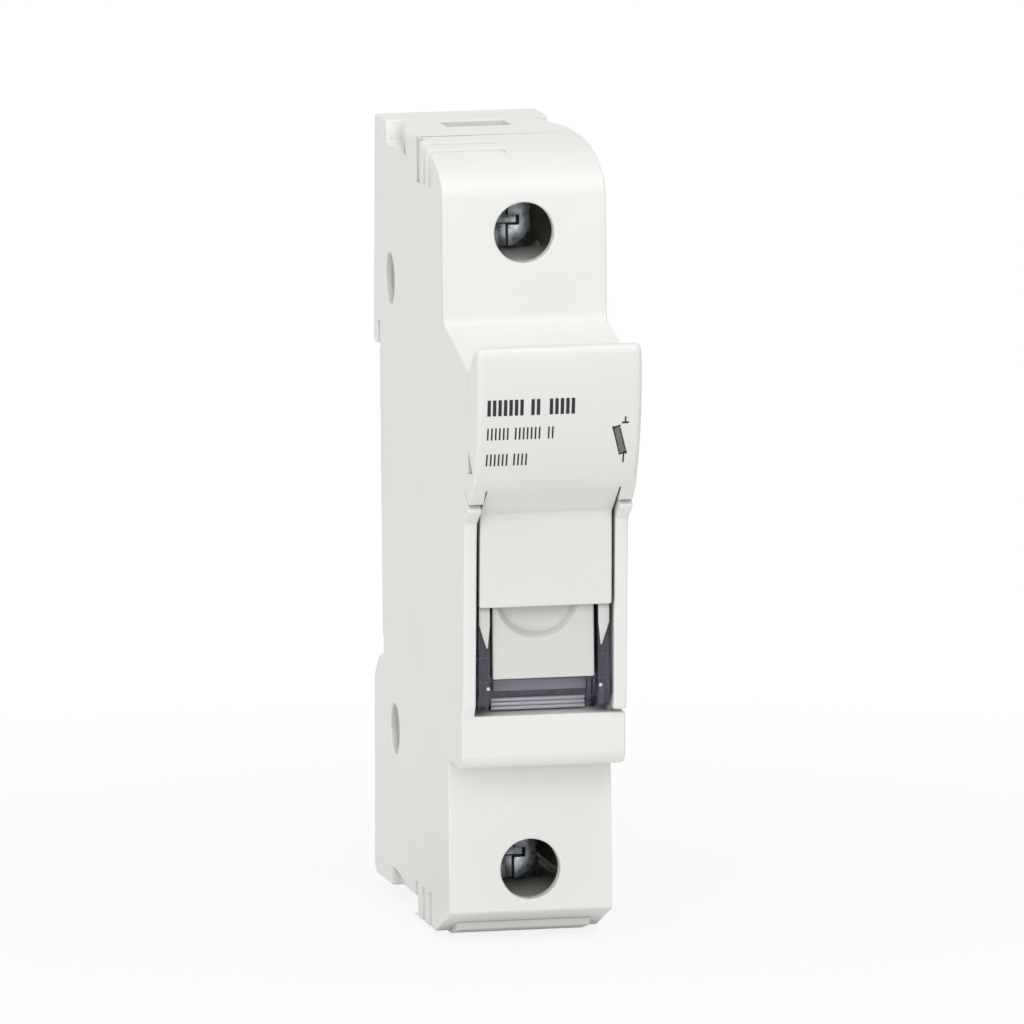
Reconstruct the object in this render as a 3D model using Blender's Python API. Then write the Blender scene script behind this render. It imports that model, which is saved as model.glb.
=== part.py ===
"""Single-pole DIN rail fuse holder with a hinged carrier for a 10 x 38 mm fuse link.

Metres, +Z up. The origin is the middle of the DIN rail seat: the rail lies behind the body (+Y),
the handle faces -Y, and the module's width runs along X.
"""

import math

import bmesh
import bpy
from mathutils import Matrix, Vector

# Body
WIDTH = 0.0175
SIDE_WALL = 0.0014
OUTER_WALL = 0.0016
CLEARANCE = 0.0003
OVERRUN = 0.0010
LAP = 0.0003
OFFSET = 0.0001
TOP_HEIGHT = 0.0400
BOTTOM_HEIGHT = 0.0437
FOOT_HEIGHT = 0.0426
TERMINAL_DEPTH = 0.0360
NOSE_DEPTH = 0.0463
NOSE_TOP = 0.0216
NOSE_BASE = 0.0243
SILL_HEIGHT = 0.0186
SILL_DEPTH = 0.04375
CROWN_LENGTH = 0.0150
CROWN_DROP = 0.0048
SHOULDER_DROP = 0.0030
WAIST_FILLET = 0.0012
CHIN_RADIUS = 0.0019
ROOF_REACH = 0.0030
NOSE_LEAN = 0.0018
NOSE_BOW = 0.0002
ROOF_TIP = 0.0010
ROOF_EDGE = 0.0013
TOE_LENGTH = 0.0080
TOE_RISE = 0.0028
FOOT_STEP = 0.0166
PAD_INSET = 0.0016
PAD_FRONT = 0.0040
PAD_LIP = 0.0008
SKIRT_END = 0.01275
LUG_TOP = 0.0040
LUG_REACH = 0.0023
LUG_DROP = 0.0015
COVER_REAR = 0.0014
COVER_STEP = 0.0190
COVER_INSET = 0.0006
COVER_SILL = 0.0023
COVER_JOG = 0.0010
BOSS_REACH = 0.0012

# DIN rail seat
RAIL_HEIGHT = 0.0350
RAIL_PLAY = 0.0003
HOOK_OVERLAP = 0.0022
HOOK_SLOT = 0.0016
HOOK_DEPTH = 0.0034
REAR_LEAN = 0.0020
SEAT_RELIEF = 0.00035
SEAT_SETBACK = 0.0002
FOOT_DEPTH = 0.0050
FOOT_RAMP = 0.0032
FOOT_LEAN = 0.0009
HEEL_CHAMFER = 0.0008
HOOK_RELIEF = 0.0005

# Carrier, handle and hinge
HINGE_DEPTH = 0.0419
HINGE_HEIGHT = -0.0159
HINGE_STUD = 0.0024
STUD_LENGTH = 0.0008
CHEEK_RADIUS = 0.0024
HANDLE_DEPTH = 0.0543
HANDLE_TOP = 0.0216
HANDLE_CHIN = 0.0072
HANDLE_FOOT = 0.0044
HANDLE_WALL = 0.0016
HANDLE_CROWNING = 0.0010
HANDLE_ROUNDING = 0.0009
HANDLE_EDGE = 0.0006
CHIN_SETBACK = 0.0030
FOOT_SETBACK = 0.0057
TAIL_RISE = 0.0018
SLOT_REAR = 0.0025
SLOT_RISE = 0.0006
SLOT_LENGTH = 0.0022
SLOT_HEIGHT = 0.0025
PANEL_SETBACK = 0.0002
PANEL_LEAN = 0.0006
PANEL_TOP = 0.0031
PANEL_BOTTOM = -0.0069
PANEL_THICKNESS = 0.0011
THUMB_BOTTOM = -0.0147
THUMB_DEPTH = 0.0440
THUMB_THICKNESS = 0.0021
THUMB_OVERLAP = 0.0022
DISH_RADIUS = 0.0045
DISH_CENTRE = -0.0060
DISH_SHIFT = 0.0006
DISH_DEPTH = 0.0011
DISH_SLOPE = 0.0006
DISH_FLOOR = 0.0024
FRAME_WALL = 0.0013
CROSSBAR_SETBACK = 0.0014
CROSSBAR_THICKNESS = 0.0014
SHELF_THICKNESS = 0.0005
WEB_THICKNESS = 0.0010
SADDLE_OFFSET = 0.0035
WING_OFFSET = 0.0046
WING_HEIGHT = 0.0090
WING_REACH = 0.0015
PLATE_DEPTH = 0.0009
TAB_TOP = 0.0150
TAB_REACH = 0.0050

# Fuse link
FUSE_LENGTH = 0.0380
FUSE_CAP = 0.0100
FUSE_CAP_WALL = 0.0004
FUSE_TUBE_WALL = 0.0011
FUSE_DEPTH = 0.0335
FUSE_HEIGHT = -0.0039
ELEMENT_WIDTH = 0.0020
ELEMENT_THICKNESS = 0.0004
FUSE_WAIST = 0.0002
CAP_CHAMFER = 0.0004
NECK_PITCH = 0.0060
NECK_RADIUS = 0.0006
FUSE_GAP = 0.00045

# Contacts
STRIP = 0.0012
JAW_STRIP = 0.0008
JAW_ROOM = 0.0022
JAW_HEIGHT = 0.0090
JAW_REACH = 0.0115
JAW_REAR = 0.0248
JAW_TIP = 0.0018
JAW_FLARE = 0.0005
JAW_INSET = 0.0005
JAW_SPRING_SETBACK = 0.0006
SHELF_DROP = 0.0081
JAW_SPRING_HEIGHT = 0.0030
TAIL_WIDTH = 0.0080
TONGUE_WIDTH = 0.0066
TONGUE_DEPTH = 0.0145
SPRING_STRIP = 0.0004

# Terminals
UPPER_TERMINAL = 0.0313
LOWER_TERMINAL = -0.0362
SCREW_HOLE = 0.0064
SCREW_HEAD = 0.0058
SCREW_HEAD_HEIGHT = 0.0031
SCREW_HEAD_DEPTH = 0.0246
SCREW_SHANK = 0.0050
SCREW_SLOT = 0.0010
SLOT_DEPTH = 0.0013
CROSS_REACH = 0.0017
HEAD_CHAMFER = 0.0004
TIP_CHAMFER = 0.0008
CAGE_WIDTH = 0.0092
CAGE_HEIGHT = 0.0084
CAGE_SIDE = 0.0010
CAGE_FRONT = 0.0018
CAGE_REAR = 0.0013
WIRE_WIDTH = 0.0070
WIRE_DEPTH = 0.0056
WIRE_REAR = 0.0072
GUIDE_WALL = 0.0012
PARTITION = 0.0014

# Side details
RIVET_DEPTH = 0.0062
UPPER_RIVET = 0.0232
LOWER_RIVET = -0.0253
RIVET_RECESS = 0.0054
RECESS_DEPTH = 0.0016
RIVET_HEAD = 0.0046
RIVET_HEAD_HEIGHT = 0.0007
RIVET_SHANK = 0.0028
RIVET_BORE = 0.0017
BOSS_DIAMETER = 0.0066
GROOVE_DEPTH = 0.0006
GROOVE_WIDTH = 0.0015
GROOVE_PITCH = 0.0030
GROOVE_REACH = 0.0016
GROOVE_STAGGER = 0.0005
GROOVE_SINK = 0.0004
FIRST_GROOVE = 0.0229
GROOVE_END = 0.0354
FIRST_FOOT_GROOVE = 0.0177
GROOVE_RISE = 0.0037
POCKET_DEPTH = 0.0020
POCKET_LENGTH = 0.0110
POCKET_REAR = 0.0050
POCKET_FLOOR = 0.0376
POCKET_NOTCH = 0.0020
NOTCH_DEPTH = 0.0012
NOTCH_REAR = 0.0012
NOTCH_SLOPE = 0.0009

# Rail clip
CLIP_WIDTH = 0.0094
CLIP_FLANGE = 0.0012
FLANGE_THICKNESS = 0.0014
CLIP_THICKNESS = 0.0037
CLIP_FRONT = 0.0009
CLIP_GRIP = 0.0012
CLIP_TRAVEL = 0.0030
CLIP_RAMP = 0.0042
PULL_SLOT_WIDTH = 0.0042
PULL_SLOT_HEIGHT = 0.0019
CLIP_SPRING_DIAMETER = 0.0030
CLIP_SPRING_WIRE = 0.0004
CLIP_SPRING_TURNS = 6
CLIP_SPRING_ROOM = 0.0097
CLIP_STOP = 0.0337

HALF = WIDTH / 2
INNER = HALF - SIDE_WALL
THUMB_WIDTH = 2 * (INNER - FRAME_WALL - 2 * CLEARANCE)
FUSE_DIAMETER = 2 * (INNER - JAW_ROOM)
FUSE_ROOM = FUSE_DIAMETER / 2 + FUSE_GAP
CHAMBER_FLOOR = FUSE_HEIGHT - FUSE_LENGTH / 2 - CLEARANCE
CEILING = UPPER_TERMINAL + CAGE_HEIGHT / 2 + CLEARANCE
FLOOR = CAGE_HEIGHT / 2 + CLEARANCE - LOWER_TERMINAL
HINGE = (-HINGE_DEPTH, HINGE_HEIGHT)
RIM = 0.0011
ROUND_STEPS = 32


def material(name, colour, roughness, metallic=0.0, alpha=1.0):
    """A Principled material with the piece's own colour."""
    look = bpy.data.materials.new(name)
    look.use_nodes = True
    shader = look.node_tree.nodes["Principled BSDF"]
    shader.inputs["Base Color"].default_value = (*colour, 1.0)
    shader.inputs["Roughness"].default_value = roughness
    shader.inputs["Metallic"].default_value = metallic
    shader.inputs["Alpha"].default_value = alpha
    return look


def add_object(name, mesh, look=None):
    """Links a mesh to the scene as an object, shaded smooth with sharp edges kept."""
    mesh.shade_smooth()
    mesh.set_sharp_from_angle(angle=math.radians(32))
    piece = bpy.data.objects.new(name, mesh)
    bpy.context.scene.collection.objects.link(piece)
    if look:
        piece.data.materials.append(look)
    return piece


def along(axis, first, second, distance):
    """The point at two outline coordinates and a distance along the extrusion axis."""
    if axis == "X":
        return Vector((distance, first, second))
    if axis == "Y":
        return Vector((first, distance, second))
    return Vector((first, second, distance))


def prism(name, axis, outline, start, end, look=None):
    """An outline extruded along an axis: (y, z) for X, (x, z) for Y and (x, y) for Z."""
    builder = bmesh.new()
    base = [builder.verts.new(along(axis, a, b, start)) for a, b in outline]
    face = builder.faces.new(base)
    grown = bmesh.ops.extrude_face_region(builder, geom=[face])
    moved = [item for item in grown["geom"] if isinstance(item, bmesh.types.BMVert)]
    bmesh.ops.translate(builder, verts=moved, vec=along(axis, 0.0, 0.0, end - start))
    bmesh.ops.recalc_face_normals(builder, faces=builder.faces)
    mesh = bpy.data.meshes.new(name)
    builder.to_mesh(mesh)
    builder.free()
    return add_object(name, mesh, look)


def block(name, low, high, look=None):
    """A box between two corners."""
    outline = [(low[0], low[1]), (high[0], low[1]), (high[0], high[1]), (low[0], high[1])]
    return prism(name, "Z", outline, low[2], high[2], look)


def turned(name, axis, centre, profile, look=None, steps=ROUND_STEPS):
    """A closed profile of (radius, distance) turned about an axis through a centre."""
    builder = bmesh.new()
    ends = len(profile)
    rings = []
    for step in range(steps):
        angle = 2 * math.pi * step / steps
        ring = []
        for radius, distance in profile:
            spot = along(axis, radius * math.cos(angle), radius * math.sin(angle), distance)
            ring.append(builder.verts.new(Vector(centre) + spot))
        rings.append(ring)
    for step in range(steps):
        here, there = rings[step], rings[(step + 1) % steps]
        for spot in range(ends):
            after = (spot + 1) % ends
            if profile[spot][0] > 0 or profile[after][0] > 0:
                builder.faces.new((here[spot], here[after], there[after], there[spot]))
    bmesh.ops.remove_doubles(builder, verts=builder.verts, dist=1e-7)
    bmesh.ops.dissolve_degenerate(builder, edges=builder.edges, dist=1e-7)
    bmesh.ops.recalc_face_normals(builder, faces=builder.faces)
    mesh = bpy.data.meshes.new(name)
    builder.to_mesh(mesh)
    builder.free()
    return add_object(name, mesh, look)


def rod(name, axis, centre, radius, start, end, look=None, steps=ROUND_STEPS):
    """A solid cylinder along an axis."""
    profile = [(0.0, start), (radius, start), (radius, end), (0.0, end)]
    return turned(name, axis, centre, profile, look, steps)


def combine(piece, operation, tools):
    """Boolean modifiers that take each tool from the piece, or add it."""
    for tool in tools:
        tool.hide_render = True
        tool.display_type = "WIRE"
        change = piece.modifiers.new(tool.name, "BOOLEAN")
        change.operation = operation
        change.solver = "EXACT"
        change.object = tool
    return piece


def cut(piece, *tools):
    return combine(piece, "DIFFERENCE", tools)


def join(piece, *tools):
    return combine(piece, "UNION", tools)


def soften_sides(piece, width, limit):
    """Rounds the side edges of an extruded piece that lie in front of a depth."""
    builder = bmesh.new()
    builder.from_mesh(piece.data)
    edges = []
    for edge in builder.edges:
        first, second = (spot.co for spot in edge.verts)
        if abs(first.x - second.x) < width / 10 and max(first.y, second.y) < -limit:
            edges.append(edge)
    bmesh.ops.bevel(builder, geom=edges, offset=width, segments=3, affect="EDGES", profile=0.5)
    builder.to_mesh(piece.data)
    builder.free()
    return piece


def arc(centre, radii, start, end, steps):
    """Points on an ellipse from one angle to another, in degrees."""
    points = []
    for step in range(steps + 1):
        angle = math.radians(start + (end - start) * step / steps)
        points.append((centre[0] + radii[0] * math.cos(angle), centre[1] + radii[1] * math.sin(angle)))
    return points


def bowed(first, last, bulge, steps):
    """Points between two ends on a shallow curve that bulges to the left of the run."""
    run = Vector(last) - Vector(first)
    side = Vector((-run.y, run.x)).normalized()
    points = []
    for step in range(steps + 1):
        share = step / steps
        spot = Vector(first) + run * share + side * bulge * 4 * share * (1 - share)
        points.append((spot.x, spot.y))
    return points


def rear_depth(height):
    """Depth of the leaning rear edge above the rail."""
    hook = RAIL_HEIGHT / 2 - HOOK_OVERLAP
    return HOOK_DEPTH - REAR_LEAN * (height - hook) / (TOP_HEIGHT - hook)


def nose_front():
    """Front edge of the nose's side walls, from the roof's tip down to the sill."""
    lug = -NOSE_DEPTH - LUG_REACH
    return [
        (-NOSE_DEPTH - ROOF_REACH, NOSE_TOP - SHOULDER_DROP),
        (-NOSE_DEPTH + NOSE_LEAN * 0.4, SKIRT_END),
        (-NOSE_DEPTH + NOSE_LEAN * 0.3, LUG_TOP + LUG_DROP * 1.5),
        (-NOSE_DEPTH, LUG_TOP + LUG_DROP),
        (lug, LUG_TOP),
        (lug, LUG_TOP - CLEARANCE),
        (-NOSE_DEPTH, LUG_TOP - CLEARANCE - LUG_DROP),
        (-NOSE_DEPTH + NOSE_LEAN * 0.2, 0.0),
        (-NOSE_DEPTH + NOSE_LEAN * 0.6, -SILL_HEIGHT / 2),
        (-NOSE_DEPTH + NOSE_LEAN, -SILL_HEIGHT + CLEARANCE * 4),
    ]


def body_outline():
    """Side view of the body as (y, z), from the rear top corner forward, down and back."""
    centre = (-TERMINAL_DEPTH + CROWN_LENGTH, TOP_HEIGHT - CROWN_DROP)
    crown = arc(centre, (CROWN_LENGTH, CROWN_DROP), 90, 180, 12)
    fillet = (-TERMINAL_DEPTH - WAIST_FILLET, NOSE_TOP + WAIST_FILLET)
    shoulder = arc(fillet, (WAIST_FILLET, WAIST_FILLET), 0, -80, 4)
    nose = bowed(shoulder[-1], nose_front()[0], -NOSE_BOW, 4)[1:-1] + nose_front()
    sill = [(-SILL_DEPTH, -SILL_HEIGHT)]
    centre = (-SILL_DEPTH + CHIN_RADIUS, -NOSE_BASE + CHIN_RADIUS)
    chin = arc(centre, (CHIN_RADIUS, CHIN_RADIUS), 190, 262, 4)
    toe = [
        (-TERMINAL_DEPTH, -NOSE_BASE),
        (-TERMINAL_DEPTH, -BOTTOM_HEIGHT + TOE_RISE + CLEARANCE),
        (-TERMINAL_DEPTH + CLEARANCE, -BOTTOM_HEIGHT + TOE_RISE),
        (-TERMINAL_DEPTH + TOE_LENGTH, -BOTTOM_HEIGHT),
        (-FOOT_STEP, -BOTTOM_HEIGHT),
        (-FOOT_STEP, -FOOT_HEIGHT),
    ]
    heel = FOOT_DEPTH + FOOT_LEAN
    foot = [(heel - HEEL_CHAMFER, -FOOT_HEIGHT), (heel, -FOOT_HEIGHT + HEEL_CHAMFER)]
    ramp_top = -RAIL_HEIGHT / 2 - HOOK_RELIEF
    knee = bowed((FOOT_DEPTH, ramp_top - FOOT_RAMP), (0.0, ramp_top), -FOOT_RAMP * 0.22, 5)
    lip = RAIL_HEIGHT / 2 - HOOK_OVERLAP
    slot_top = RAIL_HEIGHT / 2 + RAIL_PLAY
    relief_top = -RAIL_HEIGHT / 2 + CLIP_GRIP + SEAT_SETBACK
    seat_top = lip - SEAT_SETBACK
    seat = [
        (-SEAT_RELIEF, ramp_top),
        (-SEAT_RELIEF, relief_top),
        (0.0, relief_top),
        (0.0, seat_top),
        (-SEAT_RELIEF, seat_top),
        (-SEAT_RELIEF, slot_top),
        (HOOK_SLOT, slot_top),
        (HOOK_SLOT, lip),
        (rear_depth(lip), lip),
    ]
    rear = [(rear_depth(TOP_HEIGHT), TOP_HEIGHT)]
    return rear + crown + shoulder + nose + sill + chin + toe + foot + knee + seat


def fuse_chamber():
    """Outline of the space for the carrier and the fuse link, open at the nose's front."""
    front = -HANDLE_DEPTH * 1.1
    tip = NOSE_TOP - SHOULDER_DROP - ROOF_TIP
    ceiling = NOSE_TOP - OUTER_WALL - OFFSET
    return [
        (-TERMINAL_DEPTH, ceiling),
        (-NOSE_DEPTH + ROOF_REACH * 1.3, ceiling - SHOULDER_DROP * 0.27),
        (-NOSE_DEPTH - ROOF_REACH * 0.7, tip),
        (-NOSE_DEPTH - ROOF_REACH, tip - OFFSET),
        (front, tip - OFFSET),
        (front, -SILL_HEIGHT),
        (-FUSE_DEPTH - FUSE_ROOM, -SILL_HEIGHT),
        (-FUSE_DEPTH - FUSE_ROOM, CHAMBER_FLOOR),
        (-OUTER_WALL, CHAMBER_FLOOR),
        (-OUTER_WALL, ceiling),
    ]


def upper_chamber():
    """Outline of the space for the upper terminal."""
    front = -TERMINAL_DEPTH + OUTER_WALL
    centre = (-TERMINAL_DEPTH + CROWN_LENGTH, TOP_HEIGHT - CROWN_DROP)
    crown = arc(centre, (CROWN_LENGTH - OUTER_WALL, CROWN_DROP - OUTER_WALL), 180, 90, 8)
    step = -COVER_STEP - CLEARANCE
    rear = -OUTER_WALL + CLEARANCE * 2
    base = NOSE_TOP - OFFSET * 2
    ceiling = [(step, TOP_HEIGHT - OUTER_WALL), (step + COVER_JOG, CEILING), (rear, CEILING)]
    return crown + ceiling + [(rear, base), (front, base)]


def lower_chamber():
    """Outline of the space for the lower terminal."""
    front = -TERMINAL_DEPTH + OUTER_WALL
    ceiling = CHAMBER_FLOOR - PARTITION
    return [
        (front, ceiling),
        (-OUTER_WALL, ceiling),
        (-OUTER_WALL, -FLOOR),
        (-FOOT_STEP - OUTER_WALL, -FLOOR),
        (-FOOT_STEP - OUTER_WALL, -BOTTOM_HEIGHT + OUTER_WALL),
        (-TERMINAL_DEPTH + TOE_LENGTH, -BOTTOM_HEIGHT + OUTER_WALL),
        (front, -BOTTOM_HEIGHT + TOE_RISE + OUTER_WALL / 2),
    ]


def cover_outline(gap):
    """Outline of the side cover, grown by a gap for the rebate that it lies in."""
    centre = (-TERMINAL_DEPTH + CROWN_LENGTH, TOP_HEIGHT - CROWN_DROP)
    inset = RIM - gap
    crown = arc(centre, (CROWN_LENGTH - inset, CROWN_DROP - inset), 90, 180, 10)
    rear = -COVER_REAR + gap
    high = POCKET_FLOOR - COVER_INSET + gap
    low = -FOOT_HEIGHT + POCKET_NOTCH + COVER_INSET - gap
    front = -TERMINAL_DEPTH + inset
    step = -COVER_STEP + gap
    top = [(rear, high), (step + COVER_JOG / 2, high), (step - COVER_JOG * 0.6, TOP_HEIGHT - inset)]
    waist = [(front, NOSE_TOP), (front - COVER_JOG, NOSE_TOP - ROOF_EDGE + gap)]
    waist.append((-NOSE_DEPTH + ROOF_REACH * 1.3, NOSE_TOP - SHOULDER_DROP * 0.37 - ROOF_EDGE + gap))
    tip = NOSE_TOP - SHOULDER_DROP - ROOF_EDGE + gap
    nose = [(-NOSE_DEPTH - ROOF_REACH * 0.7, tip + OFFSET * 2)]
    base = -SILL_HEIGHT + CLEARANCE - gap
    if gap:
        beyond = -NOSE_DEPTH - ROOF_REACH * 2.7
        nose += [(beyond, tip - SHOULDER_DROP * 0.43), (beyond, base)]
    else:
        nose += nose_front()[1:]
        nose.append((nose[-1][0] + CLEARANCE, base))
    sill = -SILL_DEPTH + COVER_SILL - gap
    toe = [
        (sill, base),
        (sill, -NOSE_BASE + inset),
        (front, -NOSE_BASE + inset),
        (front, -BOTTOM_HEIGHT + TOE_RISE + inset),
        (-TERMINAL_DEPTH + TOE_LENGTH, -BOTTOM_HEIGHT + inset),
        (-FOOT_STEP - inset - gap, -BOTTOM_HEIGHT + inset),
        (-FOOT_STEP - inset - gap, low),
        (rear, low),
    ]
    return top + crown + waist + nose + toe


def grooves():
    """Cutters for the marker grooves at the left front corners of the two terminal blocks."""
    tools = []
    outside = -HALF - OVERRUN
    floor = -HALF + GROOVE_DEPTH
    above = TOP_HEIGHT + OVERRUN
    for number in range(3):
        depth = -FIRST_GROOVE - GROOVE_PITCH * number
        corner = [(outside, above), (outside, GROOVE_END), (floor, GROOVE_END)]
        if number:
            share = (-depth - TERMINAL_DEPTH + CROWN_LENGTH) / CROWN_LENGTH
            crown = TOP_HEIGHT - CROWN_DROP + CROWN_DROP * math.sqrt(1 - share * share)
            across = GROOVE_STAGGER * number - GROOVE_REACH
            corner += [(floor, crown - GROOVE_SINK), (across, crown - GROOVE_SINK), (across, above)]
        else:
            corner.append((floor, above))
        near, far = depth - GROOVE_WIDTH / 2, depth + GROOVE_WIDTH / 2
        tools.append(prism(f"cut_groove_{number}", "Y", corner, near, far))
        foot = -FIRST_FOOT_GROOVE - GROOVE_PITCH * 1.25 * number
        low = (outside, foot - GROOVE_WIDTH / 2, -BOTTOM_HEIGHT - OVERRUN)
        high = (floor, foot + GROOVE_WIDTH / 2, -BOTTOM_HEIGHT + GROOVE_RISE)
        tools.append(block(f"cut_foot_groove_{number}", low, high))
    return tools


def link_pockets():
    """Cutters for the wedge pockets at the rear top and bottom of both sides."""
    tools = []
    for side in (-1, 1):
        deep = side * (HALF - POCKET_DEPTH)
        outside = side * (HALF + OVERRUN)
        rear = -POCKET_REAR
        end = rear - POCKET_LENGTH
        wedge = [(outside, rear), (deep, rear), (side * HALF, end), (outside, end)]
        tools.append(prism(f"cut_top_pocket_{side}", "Z", wedge, POCKET_FLOOR, TOP_HEIGHT + OVERRUN))
        start, end = -POCKET_REAR + NOTCH_REAR, -FOOT_STEP - OVERRUN
        high, low = -FOOT_HEIGHT + POCKET_NOTCH, -FOOT_HEIGHT - OVERRUN
        notch = [(start, high), (start * 0.45 + end * 0.27, high), (end * 0.7, high - NOTCH_SLOPE * 0.8)]
        notch += [(end, high - NOTCH_SLOPE), (end, low), (start, low)]
        tools.append(prism(f"cut_foot_pocket_{side}", "X", notch, side * (HALF - NOTCH_DEPTH), outside))
    return tools


def clip_channel():
    """Cutters for the runner of the rail clip in the lower foot."""
    low, high = -FOOT_HEIGHT - OVERRUN, -RAIL_HEIGHT / 2 + CLEARANCE
    wide = CLIP_WIDTH / 2 + CLEARANCE
    front = CLIP_FRONT - CLEARANCE
    slot = block("cut_clip_channel", (-wide, front, low), (wide, FOOT_DEPTH * 1.6, high))
    flange = CLIP_WIDTH / 2 + CLIP_FLANGE + CLEARANCE
    near, far = clip_flange_span()
    runner = (-flange, near - CLEARANCE, low), (flange, far + CLEARANCE, high)
    return [slot, block("cut_clip_runner", *runner)]


def clip_flange_span():
    """Depths between which the clip's side flanges lie."""
    middle = CLIP_FRONT + CLIP_THICKNESS * 0.45
    return middle - FLANGE_THICKNESS / 2, middle + FLANGE_THICKNESS / 2


def wire_openings():
    """Cutters for the wire entries in the top and the bottom."""
    tools = []
    for name, low, high in (
        ("top", CEILING - OVERRUN, TOP_HEIGHT + OVERRUN),
        ("foot", -FOOT_HEIGHT - OVERRUN, -FLOOR + OVERRUN),
    ):
        near = (-WIRE_WIDTH / 2, -WIRE_REAR - WIRE_DEPTH, low)
        tools.append(block(f"cut_wire_{name}", near, (WIRE_WIDTH / 2, -WIRE_REAR, high)))
    return tools


def pad_outline():
    """Side view of the raised strip under the lower terminal, which starts on the toe's slope."""
    front = -TERMINAL_DEPTH + PAD_FRONT
    slope = -BOTTOM_HEIGHT + TOE_RISE * (1 - PAD_FRONT / TOE_LENGTH)
    rear = -FOOT_STEP - PAD_INSET
    inside = -BOTTOM_HEIGHT + OUTER_WALL / 2
    return [
        (front, slope + OUTER_WALL / 2),
        (front, slope - PAD_LIP),
        (-TERMINAL_DEPTH + TOE_LENGTH, -BOTTOM_HEIGHT - CLEARANCE),
        (rear, -BOTTOM_HEIGHT - CLEARANCE),
        (rear, inside),
        (-TERMINAL_DEPTH + TOE_LENGTH, inside),
    ]


def screw_guides(level, name):
    """Ribs above and below a terminal screw's head, from the front wall inward."""
    ribs = []
    inner = SCREW_HEAD / 2 + CLEARANCE
    front = -TERMINAL_DEPTH + OUTER_WALL / 2
    back = -SCREW_HEAD_DEPTH + SCREW_HEAD_HEIGHT - OFFSET
    for side in (-1, 1):
        near, far = sorted((level + side * inner, level + side * (inner + GUIDE_WALL)))
        ends = (-INNER - LAP, front, near), (INNER - CLEARANCE - LAP, back, far)
        ribs.append(block(f"add_{name}_rib_{side}", *ends))
    return ribs


def rivet_cutter(name, level, side):
    """Stepped cutter for a rivet's recess and bore on one side of the body."""
    bore = RIVET_SHANK / 2 + CLEARANCE
    outside, floor = HALF + OVERRUN, HALF - RECESS_DEPTH
    profile = [(0.0, outside), (RIVET_RECESS / 2, outside), (RIVET_RECESS / 2, floor), (bore, floor)]
    profile += [(bore, -HALF), (0.0, -HALF)]
    return turned(name, "X", (0.0, -RIVET_DEPTH, level), [(r, side * x) for r, x in profile], steps=28)


def housing(look):
    """Body moulding: left wall, front, roof, sill, top, bottom and rear in one piece."""
    body = prism("housing_shell", "X", body_outline(), -HALF, HALF, look)
    ledge = INNER - CLEARANCE
    chambers = [
        prism("cut_fuse_chamber", "X", fuse_chamber(), -INNER, ledge + OFFSET * 2),
        prism("cut_upper_chamber", "X", upper_chamber(), -INNER, ledge + OFFSET * 2),
        prism("cut_lower_chamber", "X", lower_chamber(), -INNER, ledge + OFFSET * 2),
        prism("cut_rebate", "X", cover_outline(CLEARANCE), ledge, HALF + OVERRUN),
    ]
    cut(body, *chambers)
    bosses, rooms = [], []
    for name, level in (("upper", UPPER_RIVET), ("lower", LOWER_RIVET)):
        centre = (0.0, -RIVET_DEPTH, level)
        room = BOSS_DIAMETER / 2 + CLEARANCE
        rooms.append(rod(f"cut_{name}_boss_room", "X", centre, room, ledge - BOSS_REACH, ledge + OVERRUN))
        ends = -INNER - LAP, ledge - BOSS_REACH
        bosses.append(rod(f"add_{name}_boss", "X", centre, BOSS_DIAMETER / 2, *ends))
    pad = prism("add_bottom_pad", "X", pad_outline(), -HALF + PAD_INSET, HALF - PAD_INSET)
    cut(body, *rooms)
    join(body, *bosses, pad, *screw_guides(UPPER_TERMINAL, "upper"), *screw_guides(LOWER_TERMINAL, "lower"))
    tools = grooves() + link_pockets() + clip_channel() + wire_openings()
    for name, level in (("upper", UPPER_TERMINAL), ("lower", LOWER_TERMINAL)):
        centre = (0.0, 0.0, level)
        front = -TERMINAL_DEPTH
        depth = front + OUTER_WALL + OVERRUN
        tools.append(rod(f"cut_{name}_screw", "Y", centre, SCREW_HOLE / 2, front - OVERRUN, depth))
    for name, level in (("upper", UPPER_RIVET), ("lower", LOWER_RIVET)):
        tools.append(rivet_cutter(f"cut_{name}_recess", level, -1))
    hole = HINGE_STUD / 2 + CLEARANCE
    depth = INNER - CLEARANCE + STUD_LENGTH + CLEARANCE
    tools.append(rod("cut_hinge_hole", "X", (0.0, *HINGE), hole, -depth, -INNER + OVERRUN, steps=24))
    tail_gap = TAIL_WIDTH / 2 + CLEARANCE
    lower_slot = CHAMBER_FLOOR - PARTITION
    for name, low, high in (
        ("upper", NOSE_TOP - OUTER_WALL - OVERRUN, NOSE_TOP + OVERRUN),
        ("lower", lower_slot - OVERRUN, CHAMBER_FLOOR + OVERRUN),
    ):
        near = (-tail_gap, -JAW_REAR - STRIP - CLEARANCE, low)
        tools.append(block(f"cut_{name}_tail", near, (tail_gap, -JAW_REAR + CLEARANCE, high)))
    cut(body, *tools)
    stop_front = CLIP_FRONT - CLEARANCE
    stop = clip_stop_span()
    half = CLIP_SPRING_DIAMETER / 2
    low, high = (-half, stop_front - LAP, stop[0]), (half, CLIP_FRONT + CLIP_SPRING_DIAMETER, stop[1])
    return join(body, block("add_clip_stop", low, high))


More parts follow.
